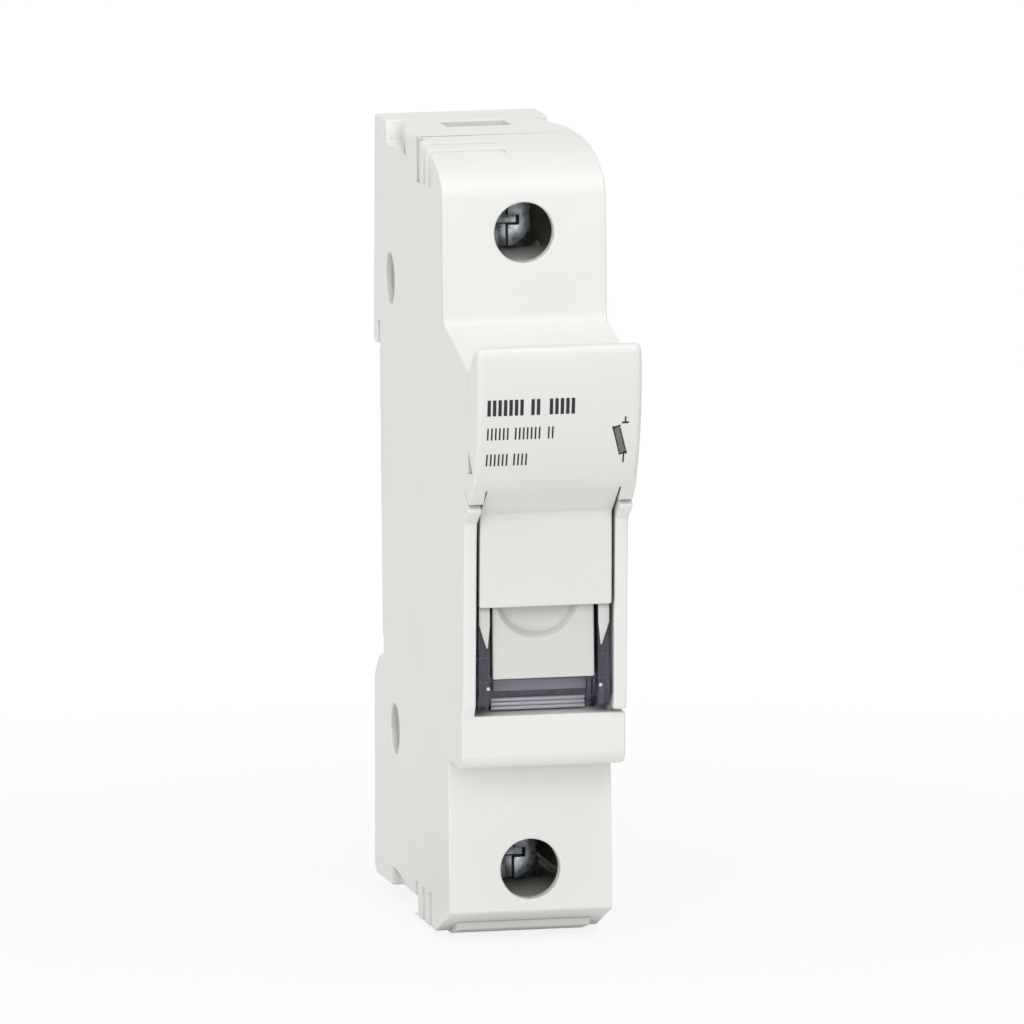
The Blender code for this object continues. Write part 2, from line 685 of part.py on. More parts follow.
def side_cover(look):
    """Plate that closes the body on the right; its front edge is the nose's right wall."""
    plate = prism("side_cover", "X", cover_outline(0.0), INNER, HALF, look)
    for name, level in (("upper", UPPER_RIVET), ("lower", LOWER_RIVET)):
        centre = (0.0, -RIVET_DEPTH, level)
        boss = rod(f"add_cover_{name}_boss", "X", centre, BOSS_DIAMETER / 2, INNER - BOSS_REACH, INNER + LAP)
        join(plate, boss)
        cut(plate, rivet_cutter(f"cut_cover_{name}_recess", level, 1))
    hole = HINGE_STUD / 2 + CLEARANCE
    depth = INNER - CLEARANCE + STUD_LENGTH + CLEARANCE
    return cut(plate, rod("cut_cover_hinge", "X", (0.0, *HINGE), hole, INNER - OVERRUN, depth, steps=24))


def rivet(name, level, look):
    """Hollow rivet between the two round recesses."""
    seat = HALF - RECESS_DEPTH + CLEARANCE
    outer = seat + RIVET_HEAD_HEIGHT
    bore, shank, head = RIVET_BORE / 2, RIVET_SHANK / 2, RIVET_HEAD / 2
    rounding = RIVET_HEAD_HEIGHT * 0.5
    half = [(bore, outer), (head - rounding, outer), (head, outer - rounding), (head, seat), (shank, seat)]
    other = [(radius, -distance) for radius, distance in reversed(half)]
    return turned(name, "X", (0.0, -RIVET_DEPTH, level), half + other, look, steps=24)


def handle_outline(rear_run):
    """Side view of the handle as (y, z), closed at the rear by the given points."""
    front = -HANDLE_DEPTH
    rounding = HANDLE_ROUNDING
    crown = [(front + rounding * 2, HANDLE_TOP - CLEARANCE)]
    crown += arc((front + rounding, HANDLE_TOP - rounding), (rounding, rounding), 90, 180, 4)
    chin = (front + CHIN_SETBACK, HANDLE_CHIN)
    face = bowed((front, HANDLE_TOP - rounding), chin, -HANDLE_CROWNING, 8)[1:]
    foot = front + FOOT_SETBACK
    return crown + face + [(foot - CLEARANCE, HANDLE_FOOT + CLEARANCE), (foot, HANDLE_FOOT)] + rear_run


def handle(look):
    """Pull handle with side skirts and the flat front panel, hollow at the back."""
    side_edge = [(y - CLEARANCE, z + OFFSET) for y, z in nose_front()[:3]]
    side_edge[2] = (side_edge[2][0], side_edge[2][1] + OFFSET)
    tail = (side_edge[2][0] - OFFSET, HANDLE_FOOT + TAIL_RISE)
    skirt = handle_outline([tail, *reversed(side_edge)])
    grip = prism("handle", "X", skirt, -HALF, HALF, look)
    soften_sides(grip, HANDLE_EDGE, HANDLE_DEPTH - HANDLE_ROUNDING * 4)
    front = -HANDLE_DEPTH + HANDLE_WALL
    high = HANDLE_TOP - HANDLE_WALL - OFFSET * 2
    floor = HANDLE_CHIN + OFFSET * 2
    chin = (front + CHIN_SETBACK - OFFSET * 2, floor + CLEARANCE)
    hollow = [
        (front + OVERRUN * 2, high),
        *bowed((front, high - CLEARANCE), chin, -HANDLE_CROWNING * 0.9, 5),
        (chin[0] + CLEARANCE * 2, floor),
        (-NOSE_DEPTH + OVERRUN * 2, floor),
        (-NOSE_DEPTH + OVERRUN * 2, high),
    ]
    slot_rear = -NOSE_DEPTH - SLOT_REAR
    slot_foot = HANDLE_CHIN + SLOT_RISE
    slot = [
        (slot_rear, slot_foot),
        (slot_rear, slot_foot + SLOT_HEIGHT),
        (slot_rear - SLOT_LENGTH, slot_foot + CLEARANCE),
    ]
    half = INNER - CLEARANCE
    panel = panel_outline()
    gap = half + CLEARANCE / 2
    near = (-gap, panel[0][0] + OFFSET * 2, HANDLE_FOOT - OVERRUN)
    far = (gap, -NOSE_DEPTH + OVERRUN, panel[-1][1] - OFFSET * 2)
    cut(
        grip,
        prism("cut_handle_hollow", "X", hollow, -INNER, INNER),
        prism("cut_handle_slot", "X", slot, -HALF - OVERRUN, HALF + OVERRUN),
        block("cut_handle_notch", near, far),
    )
    return join(grip, prism("add_front_panel", "X", panel, -half, half))


def panel_outline():
    """Side view of the flat front panel and the slope that joins it to the handle's chin."""
    front = -NOSE_DEPTH + PANEL_SETBACK
    rear = front + PANEL_THICKNESS
    share = 0.4
    run = FOOT_SETBACK - CLEARANCE - CHIN_SETBACK
    drop = HANDLE_CHIN - HANDLE_FOOT - CLEARANCE
    brow = Vector((-HANDLE_DEPTH + CHIN_SETBACK + run * share, HANDLE_CHIN - drop * share))
    start = brow - (Vector((front, PANEL_TOP)) - brow).normalized() * OFFSET
    high = HANDLE_FOOT + HANDLE_WALL + OVERRUN / 2
    return [
        (start.x, start.y),
        (front, PANEL_TOP),
        (front + PANEL_LEAN, PANEL_BOTTOM),
        (rear + PANEL_LEAN, PANEL_BOTTOM),
        (rear, PANEL_TOP + OVERRUN),
        (rear, high),
        (start.x, high),
    ]


def frame_side_outline():
    """Side view of a carrier side plate: hinge cheek, front edge and the wing beside the fuse."""
    front = -THUMB_DEPTH + OFFSET
    rear = -HINGE_DEPTH + CHEEK_RADIUS
    cheek = arc(HINGE, (CHEEK_RADIUS, CHEEK_RADIUS), 180, 350, 12)
    wing_low = FUSE_HEIGHT - WING_OFFSET
    wing_high = wing_low + WING_HEIGHT
    wing_rear = -FUSE_DEPTH + WING_REACH
    tab_low = HANDLE_CHIN + OFFSET * 2 + CLEARANCE
    tab_front = front - TAB_REACH
    back = front + PLATE_DEPTH
    wing = [(rear, wing_low - CHEEK_RADIUS), (rear + CHEEK_RADIUS, wing_low), (wing_rear, wing_low)]
    wing += [(wing_rear, wing_high), (back + CHEEK_RADIUS, wing_high)]
    tab = [(back, tab_low), (back, TAB_TOP), (tab_front, TAB_TOP), (tab_front, tab_low)]
    edge = [(front, tab_low), (front, PANEL_BOTTOM + CLEARANCE)]
    edge.append((-HINGE_DEPTH - CHEEK_RADIUS, PANEL_BOTTOM - CLEARANCE))
    return cheek + wing + tab + edge


def carrier_frame(look):
    """Smoked carrier body: two side plates with hinge cheeks, a cross bar and two saddles."""
    outer = INNER - CLEARANCE
    inner = outer - FRAME_WALL
    frame = prism("carrier_frame", "X", frame_side_outline(), -outer, outer, look)
    around = (-inner, -HANDLE_DEPTH, -NOSE_BASE), (inner, -JAW_REAR, NOSE_TOP)
    cut(frame, block("cut_frame_gap", *around))
    bar_low = HINGE_HEIGHT - CHEEK_RADIUS + CLEARANCE
    bar_front = -HINGE_DEPTH + CROSSBAR_SETBACK
    bar_rear = bar_front + CROSSBAR_THICKNESS
    radius = CROSSBAR_THICKNESS / 2
    shelf_top = THUMB_BOTTOM - CLEARANCE
    high = shelf_top - SHELF_THICKNESS / 2
    bar = arc((bar_front + radius, bar_low + radius), (radius, radius), 180, 360, 8)
    bar += [(bar_rear, high), (bar_front, high)]
    parts = [prism("add_crossbar", "X", bar, -inner - LAP, inner + LAP)]
    web_front = -THUMB_DEPTH + THUMB_THICKNESS + CLEARANCE
    reach = inner + LAP
    shelf = (-reach, web_front, shelf_top - SHELF_THICKNESS), (reach, bar_rear, shelf_top)
    parts.append(block("add_shelf", *shelf))
    web = (-reach, web_front, high), (reach, web_front + WEB_THICKNESS, HANDLE_FOOT * 0.45)
    parts.append(block("add_web", *web))
    for name, way in (("low", -1), ("high", 1)):
        level = FUSE_HEIGHT + way * SADDLE_OFFSET
        near = (-reach, web_front + WEB_THICKNESS / 2, level - WEB_THICKNESS / 2)
        far = (reach, -FUSE_DEPTH - OVERRUN, level + WEB_THICKNESS / 2)
        parts.append(block(f"add_{name}_saddle", near, far))
    join(frame, *parts)
    bed = rod(
        "cut_fuse_bed",
        "Z",
        (0.0, -FUSE_DEPTH, FUSE_HEIGHT),
        FUSE_DIAMETER / 2 + CLEARANCE - OFFSET,
        -FUSE_LENGTH / 2,
        FUSE_LENGTH / 2,
    )
    cut(frame, bed)
    studs = []
    for name, way in (("left", -1), ("right", 1)):
        ends = sorted((way * (outer - FRAME_WALL / 2), way * (outer + STUD_LENGTH)))
        studs.append(rod(f"add_{name}_stud", "X", (0.0, *HINGE), HINGE_STUD / 2, *ends, steps=24))
    return join(frame, *studs)


def thumb_panel(look):
    """Light grey panel between the side plates, with a dished thumb recess under the white panel."""
    half = THUMB_WIDTH / 2
    high = PANEL_BOTTOM + THUMB_OVERLAP
    rear = -THUMB_DEPTH + THUMB_THICKNESS
    panel = block("thumb_panel", (-half, -THUMB_DEPTH, THUMB_BOTTOM), (half, rear, high), look)
    bowl = [(0.0, -OVERRUN), (DISH_RADIUS + DISH_SLOPE, -OVERRUN), (DISH_RADIUS, 0.0)]
    bowl += [(DISH_RADIUS - DISH_SLOPE, DISH_DEPTH * 0.7), (DISH_FLOOR, DISH_DEPTH), (0.0, DISH_DEPTH)]
    dish = turned("cut_dish", "Y", (-DISH_SHIFT, -THUMB_DEPTH, DISH_CENTRE), bowl, steps=48)
    return cut(panel, dish)


def fuse_link(looks):
    """Cylindrical fuse link: a ceramic tube, two end caps and the melting element inside."""
    centre = (0.0, -FUSE_DEPTH, FUSE_HEIGHT)
    half = FUSE_LENGTH / 2
    outer = FUSE_DIAMETER / 2
    cap_inner = outer - FUSE_CAP_WALL
    neck = cap_inner - CLEARANCE
    bore = neck - FUSE_TUBE_WALL
    waist = outer - FUSE_WAIST
    neck_start = half - FUSE_CAP - CLEARANCE
    tube_end = half - FUSE_CAP_WALL - CLEARANCE
    side = [(bore, tube_end), (neck, tube_end), (neck, neck_start), (waist, neck_start)]
    tube = turned("fuse_tube", "Z", centre, side + [(r, -z) for r, z in reversed(side)], looks["ceramic"])
    pieces = [tube]
    for name, way in (("fuse_cap_upper", 1), ("fuse_cap_lower", -1)):
        cup = [
            (0.0, half),
            (outer - CAP_CHAMFER, half),
            (outer, half - CAP_CHAMFER),
            (outer, half - FUSE_CAP),
            (cap_inner, half - FUSE_CAP),
            (cap_inner, half - FUSE_CAP_WALL),
            (0.0, half - FUSE_CAP_WALL),
        ]
        pieces.append(turned(name, "Z", centre, [(r, way * z) for r, z in cup], looks["nickel"]))
    reach = tube_end - OFFSET
    low = (-ELEMENT_WIDTH / 2, centre[1] - ELEMENT_THICKNESS / 2, centre[2] - reach)
    high = (ELEMENT_WIDTH / 2, centre[1] + ELEMENT_THICKNESS / 2, centre[2] + reach)
    element = block("fuse_element", low, high, looks["silver"])
    necks = []
    for number in range(-2, 3):
        spot = (0.0, -FUSE_DEPTH, FUSE_HEIGHT + number * NECK_PITCH)
        necks.append(rod(f"cut_neck_{number}", "Y", spot, NECK_RADIUS, -OVERRUN, OVERRUN, steps=16))
    pieces.append(cut(element, *necks))
    return pieces


def jaw_outline(inner, strip, rear, reach, flare):
    """Plan view of a U-shaped jaw as (x, y), with its prongs' tips flared outward."""
    outer = inner + strip
    web_front = rear - strip
    tip = rear - reach
    knee = tip + JAW_TIP
    right = [
        (outer, rear),
        (outer, knee),
        (outer + flare, tip),
        (inner + flare, tip),
        (inner, knee),
        (inner, web_front),
    ]
    return right + [(-x, y) for x, y in reversed(right)]


def contact(name, level, way, terminal, look):
    """Folded strip: a jaw that holds the fuse cap, a tail and the tongue inside the clamp cage."""
    rear = -JAW_REAR
    inner = FUSE_DIAMETER / 2 + CLEARANCE
    low, high = sorted((level, level + way * JAW_HEIGHT))
    jaw = prism(name, "Z", jaw_outline(inner, JAW_STRIP, rear, JAW_REACH, JAW_FLARE), low, high, look)
    shelf = terminal - way * SHELF_DROP
    tail_low, tail_high = sorted((level + way * JAW_HEIGHT / 3, shelf + way * STRIP))
    tail = block(
        f"add_{name}_tail",
        (-TAIL_WIDTH / 2, rear - STRIP, tail_low),
        (TAIL_WIDTH / 2, rear, tail_high),
    )
    run_low, run_high = sorted((shelf, shelf + way * STRIP))
    tongue_rear = -TONGUE_DEPTH + STRIP
    run = block(
        f"add_{name}_run",
        (-TAIL_WIDTH / 2, rear - STRIP, run_low),
        (TAIL_WIDTH / 2, tongue_rear, run_high),
    )
    end = terminal + way * (CAGE_HEIGHT / 2 - OFFSET)
    tongue_low, tongue_high = sorted((shelf, end))
    tongue = block(
        f"add_{name}_tongue",
        (-TONGUE_WIDTH / 2, -TONGUE_DEPTH, tongue_low),
        (TONGUE_WIDTH / 2, tongue_rear, tongue_high),
    )
    return join(jaw, tail, run, tongue)


def jaw_spring(name, level, way, look):
    """Steel spring around a jaw's prongs, which presses them on the fuse cap."""
    inner = FUSE_DIAMETER / 2 + 2 * CLEARANCE + JAW_STRIP
    start = level + way * JAW_SPRING_SETBACK
    low, high = sorted((start, start + way * JAW_SPRING_HEIGHT))
    rear = -JAW_REAR + CLEARANCE + SPRING_STRIP
    reach = JAW_REACH - JAW_TIP * 1.3
    return prism(name, "Z", jaw_outline(inner, SPRING_STRIP, rear, reach, 0.0), low, high, look)


def clamp_cage(name, level, look):
    """Box clamp around the tongue; the screw pulls it forward onto the wire."""
    front = -TONGUE_DEPTH - CLEARANCE - CAGE_FRONT
    rear = -WIRE_REAR + CLEARANCE + CAGE_REAR
    half, height = CAGE_WIDTH / 2, CAGE_HEIGHT / 2
    cage = block(name, (-half, front, level - height), (half, rear, level + height), look)
    opening = half - CAGE_SIDE
    space = block(
        f"cut_{name}_space",
        (-opening, front + CAGE_FRONT, level - height - OVERRUN),
        (opening, rear - CAGE_REAR, level + height + OVERRUN),
    )
    hole = SCREW_SHANK / 2 + CLEARANCE
    ends = front - OVERRUN, front + CAGE_FRONT + OVERRUN
    thread = rod(f"cut_{name}_thread", "Y", (0.0, 0.0, level), hole, *ends)
    return cut(cage, space, thread)


def terminal_screw(name, level, look):
    """Terminal screw with a slot and a cross recess in its head."""
    head_front = -SCREW_HEAD_DEPTH
    seat = head_front + SCREW_HEAD_HEIGHT
    tip = -TONGUE_DEPTH - CLEARANCE
    head, shank = SCREW_HEAD / 2, SCREW_SHANK / 2
    profile = [
        (0.0, head_front),
        (head - HEAD_CHAMFER, head_front),
        (head, head_front + HEAD_CHAMFER),
        (head, seat),
        (shank, seat),
        (shank, tip - TIP_CHAMFER),
        (shank - TIP_CHAMFER, tip),
        (0.0, tip),
    ]
    screw = turned(name, "Y", (0.0, 0.0, level), profile, look)
    half = SCREW_SLOT / 2
    low, high = head_front - OVERRUN, head_front + SLOT_DEPTH
    ends = level - head - OVERRUN, level + head + OVERRUN
    slot = block(f"cut_{name}_slot", (-half, low, ends[0]), (half, high, ends[1]))
    near = (-CROSS_REACH, low, level - half)
    cross = block(f"cut_{name}_cross", near, (CROSS_REACH, high + CLEARANCE, level + half))
    return cut(screw, slot, cross)


def clip_stop_span():
    """Levels between which the fixed stop for the clip's spring lies."""
    return -CLIP_STOP - CLIP_SPRING_DIAMETER / 2, -CLIP_STOP


def rail_clip(look):
    """Sliding catch: a tongue behind the rail's lower edge, side flanges and a pull slot."""
    top = -RAIL_HEIGHT / 2 + CLIP_GRIP
    bottom = -FOOT_HEIGHT + CLEARANCE
    front, rear = CLIP_FRONT, CLIP_FRONT + CLIP_THICKNESS
    catch = [
        (HOOK_SLOT - CLEARANCE, top),
        (HOOK_SLOT - CLEARANCE, -RAIL_HEIGHT / 2 - CLEARANCE),
        (front, -RAIL_HEIGHT / 2 - CLEARANCE),
        (front, bottom),
        (rear, bottom),
        (rear, top - CLIP_RAMP),
        (HOOK_SLOT + CLEARANCE * 2, top),
    ]
    half = CLIP_WIDTH / 2
    clip = prism("rail_clip", "X", catch, -half, half, look)
    near, far = clip_flange_span()
    wide = half + CLIP_FLANGE
    foot, head = bottom + CLIP_TRAVEL * 1.3, top - CLIP_TRAVEL * 2
    join(clip, block("add_clip_flange", (-wide, near, foot), (wide, far, head)))
    low, high = clip_stop_span()
    window = block(
        "cut_clip_window",
        (-CLIP_SPRING_DIAMETER / 2 - CLEARANCE, front - OVERRUN, low - CLEARANCE),
        (CLIP_SPRING_DIAMETER / 2 + CLEARANCE, rear + OVERRUN, high + CLIP_SPRING_ROOM),
    )
    half = PULL_SLOT_WIDTH / 2
    near, far = bottom + PULL_SLOT_HEIGHT * 0.6, bottom + PULL_SLOT_HEIGHT * 1.6
    pull = block("cut_clip_pull", (-half, front + CLIP_FLANGE, near), (half, rear + OVERRUN, far))
    return cut(clip, window, pull)


def clip_spring(look):
    """Coil spring between the body's stop and the top of the clip's window."""
    low, high = clip_stop_span()
    start = high + CLEARANCE + CLIP_SPRING_WIRE / 2
    end = high + CLIP_SPRING_ROOM - CLEARANCE - CLIP_SPRING_WIRE / 2
    radius = (CLIP_SPRING_DIAMETER - CLIP_SPRING_WIRE) / 2
    centre = CLIP_FRONT + (CLIP_THICKNESS - CLIP_SPRING_WIRE) / 2
    turn = ROUND_STEPS // 2
    steps = CLIP_SPRING_TURNS * turn
    curve = bpy.data.curves.new("rail_clip_spring", "CURVE")
    curve.dimensions = "3D"
    curve.bevel_depth = CLIP_SPRING_WIRE / 2
    curve.bevel_resolution = 1
    curve.use_fill_caps = True
    line = curve.splines.new("POLY")
    line.points.add(steps)
    for step in range(steps + 1):
        angle = 2 * math.pi * step / turn
        level = start + (end - start) * step / steps
        spot = (radius * math.cos(angle), centre + radius * math.sin(angle), level)
        line.points[step].co = (*spot, 1.0)
    spring = bpy.data.objects.new("rail_clip_spring", curve)
    bpy.context.scene.collection.objects.link(spring)
    spring.data.materials.append(look)
    return spring


def carry(name, place, pieces):
    """Parents pieces to an empty on their joint's axis."""
    axis = bpy.data.objects.new(name, None)
    axis.empty_display_size = WIDTH / 4
    axis.location = place
    bpy.context.scene.collection.objects.link(axis)
    for piece in pieces:
        piece.parent = axis
        piece.matrix_parent_inverse = Matrix.Translation(-Vector(place))


def make_looks():
    """The materials of the pieces, by what they are made of."""
    return {
        "shell": material("white_thermoplastic", (0.86, 0.86, 0.84), 0.45),
        "cover": material("white_cover_thermoplastic", (0.86, 0.86, 0.84), 0.45),
        "handle": material("white_handle_thermoplastic", (0.84, 0.84, 0.82), 0.42),
        "thumb": material("light_grey_thermoplastic", (0.62, 0.62, 0.60), 0.45),
        "smoked": material("smoked_polycarbonate", (0.10, 0.09, 0.13), 0.12, alpha=0.6),
        "clip": material("white_clip_thermoplastic", (0.80, 0.80, 0.78), 0.5),
        "ceramic": material("ceramic", (0.85, 0.83, 0.78), 0.35),
        "nickel": material("nickel_plate", (0.72, 0.70, 0.66), 0.25, metallic=1.0),
        "silver": material("silver", (0.80, 0.79, 0.76), 0.3, metallic=1.0),
        "copper": material("tinned_copper", (0.74, 0.72, 0.69), 0.32, metallic=1.0),
        "steel": material("zinc_plated_steel", (0.48, 0.51, 0.54), 0.35, metallic=1.0),
        "spring": material("spring_steel", (0.42, 0.42, 0.42), 0.3, metallic=1.0),
    }


def main():
    for item in list(bpy.data.objects):
        bpy.data.objects.remove(item)
    looks = make_looks()
    housing(looks["shell"])
    side_cover(looks["cover"])
    rivet("rivet_upper", UPPER_RIVET, looks["steel"])
    rivet("rivet_lower", LOWER_RIVET, looks["steel"])
    moving = [handle(looks["handle"]), carrier_frame(looks["smoked"]), thumb_panel(looks["thumb"])]
    carry("carrier_axis", (0.0, *HINGE), moving + fuse_link(looks))
    jaw = FUSE_LENGTH / 2 - FUSE_CAP + JAW_INSET
    for name, way, terminal in (("upper", 1, UPPER_TERMINAL), ("lower", -1, LOWER_TERMINAL)):
        level = FUSE_HEIGHT + way * jaw
        contact(f"{name}_contact", level, way, terminal, looks["copper"])
        jaw_spring(f"{name}_jaw_spring", level, way, looks["spring"])
        cage = clamp_cage(f"{name}_cage", terminal, looks["steel"])
        carry(f"{name}_cage_axis", (0.0, 0.0, terminal), [cage])
        screw = terminal_screw(f"{name}_screw", terminal, looks["steel"])
        carry(f"{name}_screw_axis", (0.0, 0.0, terminal), [screw])
    carry("clip_axis", (0.0, 0.0, -RAIL_HEIGHT / 2), [rail_clip(looks["clip"])])
    clip_spring(looks["spring"])


main()
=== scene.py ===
"""Looks of a single-pole DIN rail fuse holder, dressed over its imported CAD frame.

Metres, +Z up. The DIN rail seat's middle is the origin and the handle faces -Y.
"""

import logging
import math
from dataclasses import dataclass, field, replace
from enum import Enum

import bmesh
import bpy
import numpy
from bmesh.types import BMEdge, BMesh
from bpy.types import Material, Node, NodeSocket, NodeTree, Object
from mathutils import Matrix, Vector


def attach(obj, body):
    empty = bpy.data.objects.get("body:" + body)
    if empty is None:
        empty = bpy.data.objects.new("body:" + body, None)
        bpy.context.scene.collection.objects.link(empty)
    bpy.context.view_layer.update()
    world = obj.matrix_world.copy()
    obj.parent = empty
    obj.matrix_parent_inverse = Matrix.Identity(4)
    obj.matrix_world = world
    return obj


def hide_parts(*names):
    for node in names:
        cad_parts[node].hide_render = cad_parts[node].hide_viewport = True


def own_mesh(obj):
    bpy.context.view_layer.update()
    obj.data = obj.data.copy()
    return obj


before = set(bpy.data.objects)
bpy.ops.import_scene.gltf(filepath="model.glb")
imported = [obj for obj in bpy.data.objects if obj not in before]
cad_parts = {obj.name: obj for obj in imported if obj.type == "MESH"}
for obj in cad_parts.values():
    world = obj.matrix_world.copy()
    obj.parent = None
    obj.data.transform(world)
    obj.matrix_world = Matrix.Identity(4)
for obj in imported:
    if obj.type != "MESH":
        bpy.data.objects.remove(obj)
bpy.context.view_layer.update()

LOG = logging.getLogger("fuse_holder")
MM = 0.001
MERGE_DISTANCE = 0.002 * MM
FLAT_ANGLE = math.radians(0.8)
# Shares of the gap to the next edge and of an edge's own length that a rounding may take up.
GAP_SHARE, LENGTH_SHARE = 0.45, 0.9
# Sharpest turn between two edges that is counted, in radians, and nearest edges looked at.
WIDEST_TURN, NEIGHBOURS = 2.8, 8


class Axis(Enum):
    """Turns that lay a cylinder along an axis."""

    X = (0.0, math.pi / 2, 0.0)
    Y = (math.pi / 2, 0.0, 0.0)


class Side(Enum):
    """Sides as seen from the front, and which way they lie along X."""

    LEFT = -1.0
    RIGHT = 1.0


class Body(Enum):
    """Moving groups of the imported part."""

    BASE = "base"
    CARRIER = "carrier"
    UPPER_SCREW = "upper_screw_body"
    LOWER_SCREW = "lower_screw_body"
    UPPER_CAGE = "upper_cage_body"
    LOWER_CAGE = "lower_cage_body"
    CLIP = "clip"


def deselect_all() -> None:
    """Leaves nothing selected and no object active in edit mode."""
    if bpy.context.object and bpy.context.object.mode != "OBJECT":
        bpy.ops.object.mode_set(mode="OBJECT")
    bpy.ops.object.select_all(action="DESELECT")


def activate(piece: Object) -> None:
    """Selects one piece alone and makes it active.

    Args:
        piece: The object to work on.
    """
    deselect_all()
    piece.select_set(True)
    bpy.context.view_layer.objects.active = piece


def apply_modifiers(piece: Object) -> None:
    """Applies every modifier of a piece in order.

    Args:
        piece: The object whose modifiers are applied.
    """
    activate(piece)
    for modifier in list(piece.modifiers):
        bpy.ops.object.modifier_apply(modifier=modifier.name)


def settle(piece: Object) -> None:
    """Puts a piece's place into its mesh, so that its object sits at the origin."""
    activate(piece)
    bpy.ops.object.transform_apply(location=True, rotation=True, scale=True)


def smooth(piece: Object, angle: float = 50.0) -> None:
    """Shades a piece smooth except over edges that turn by more than an angle in degrees."""
    activate(piece)
    bpy.ops.object.shade_smooth_by_angle(angle=math.radians(angle))


def level_faces(piece: Object) -> None:
    """Keeps large flat faces flat in their shading, so that only the rounded edges turn.

    Args:
        piece: A piece that is shaded smooth.
    """
    level = piece.modifiers.new("level", "WEIGHTED_NORMAL")
    level.mode = "FACE_AREA"
    level.weight = 100
    level.keep_sharp = True
    apply_modifiers(piece)


def sharp_edges(form: BMesh, angle: float) -> set[int]:
    """Indices of the edges over which a mesh turns by more than an angle in degrees."""
    limit = math.radians(angle)
    return {
        edge.index for edge in form.edges
        if edge.is_manifold and edge.calc_face_angle(0.0) > limit
    }


def border_loops(form: BMesh, sharp: set[int]) -> list[list[int]]:
    """Groups the sharp edges by the smooth region that they border.

    Args:
        form: The mesh.
        sharp: Indices of its sharp edges.

    Returns:
        For each region of faces that join smoothly, the sharp edges round it.
    """
    region = [-1] * len(form.faces)
    borders: list[list[int]] = []
    for first in form.faces:
        if region[first.index] >= 0:
            continue
        region[first.index] = len(borders)
        stack, around = [first], set()
        while stack:
            for edge in stack.pop().edges:
                if edge.index in sharp:
                    around.add(edge.index)
                    continue
                for face in edge.link_faces:
                    if region[face.index] < 0:
                        region[face.index] = len(borders)
                        stack.append(face)
        borders.append(sorted(around))
    return borders


def own_room(edge: BMEdge, around: set[int]) -> float:
    """Widest rounding at which an edge still has length left between its neighbours' roundings.

    Args:
        edge: The edge.
        around: Indices of the sharp edges of one region.

    Returns:
        The width in metres.
    """
    bends = 0.0
    for corner in edge.verts:
        along = (edge.other_vert(corner).co - corner.co).normalized()
        for other in corner.link_edges:
            if other is edge or other.index not in around:
                continue
            away = (other.other_vert(corner).co - corner.co).normalized()
            turn = math.pi - along.angle(away, 0.0)
            bends += math.tan(min(turn, WIDEST_TURN) / 2)
    return LENGTH_SHARE * edge.calc_length() / bends if bends else math.inf


def edge_rooms(form: BMesh, sharp: set[int]) -> dict[int, float]:
    """Measures how wide a rounding each sharp edge has room for on the faces beside it.

    Args:
        form: The mesh.
        sharp: Indices of its sharp edges.

    Returns:
        The widest rounding of each edge in metres.
    """
    rooms = {index: math.inf for index in sharp}
    for around in border_loops(form, sharp):
        edges = [form.edges[index] for index in around]
        if not edges:
            continue
        known = set(around)
        start = numpy.array([edge.verts[0].co[:] for edge in edges])
        run = numpy.array([edge.verts[1].co[:] for edge in edges]) - start
        square = (run * run).sum(1)
        for row, edge in enumerate(edges):
            ends = {vertex.index for vertex in edge.verts}
            gap = math.inf
            for point in (start[row], start[row] + run[row]):
                share = numpy.clip(((point - start) * run).sum(1) / square, 0.0, 1.0)
                reach = numpy.linalg.norm(start + run * share[:, None] - point, axis=1)
                for column in numpy.argsort(reach)[:NEIGHBOURS]:
                    other = edges[column]
                    if ends & {vertex.index for vertex in other.verts}:
                        continue
                    gap = min(gap, float(reach[column]))
                    rooms[other.index] = min(rooms[other.index], GAP_SHARE * float(reach[column]))
                    break
            rooms[edge.index] = min(rooms[edge.index], GAP_SHARE * gap, own_room(edge, known))
    return rooms


def add_bevel(
    piece: Object, width: float, angle: float = 35.0, segments: int = 2, crisp: tuple = ()
) -> None:
    """Rounds a piece's sharp edges, each as far as the faces beside it have room.

    Args:
        piece: The object to round.
        width: Full width of the rounding in metres.
        angle: Smallest angle of an edge that is rounded, in degrees.
        segments: Faces across the rounding.
        crisp: Boxes, as low and high corners in millimetres, and the most that edges in them are
            rounded.
    """
    form = bmesh.new()
    form.from_mesh(piece.data)
    form.edges.ensure_lookup_table()
    rooms = edge_rooms(form, sharp_edges(form, angle))
    form.free()
    shares = numpy.zeros(len(piece.data.edges), dtype=numpy.float32)
    corners = piece.data.vertices
    for index, room in rooms.items():
        shares[index] = min(1.0, room / width)
        first, second = piece.data.edges[index].vertices
        middle = (corners[first].co + corners[second].co) / (2 * MM)
        for low, high, most in crisp:
            if inside(middle, low, high):
                shares[index] = min(shares[index], most)
    layer = piece.data.attributes.get("bevel_weight_edge")
    layer = layer or piece.data.attributes.new("bevel_weight_edge", "FLOAT", "EDGE")
    layer.data.foreach_set("value", shares)
    bevel = piece.modifiers.new("rounding", "BEVEL")
    bevel.width = width
    bevel.segments = segments
    bevel.limit_method = "WEIGHT"
    bevel.use_clamp_overlap = False
    bevel.harden_normals = False
    apply_modifiers(piece)
    spent = piece.data.attributes.get("bevel_weight_edge")
    if spent:
        piece.data.attributes.remove(spent)


def inside(point: Vector, low: tuple, high: tuple) -> bool:
    """Whether a point in millimetres lies in a box given by its low and high corners."""
    return all(low[i] <= point[i] <= high[i] for i in range(3))


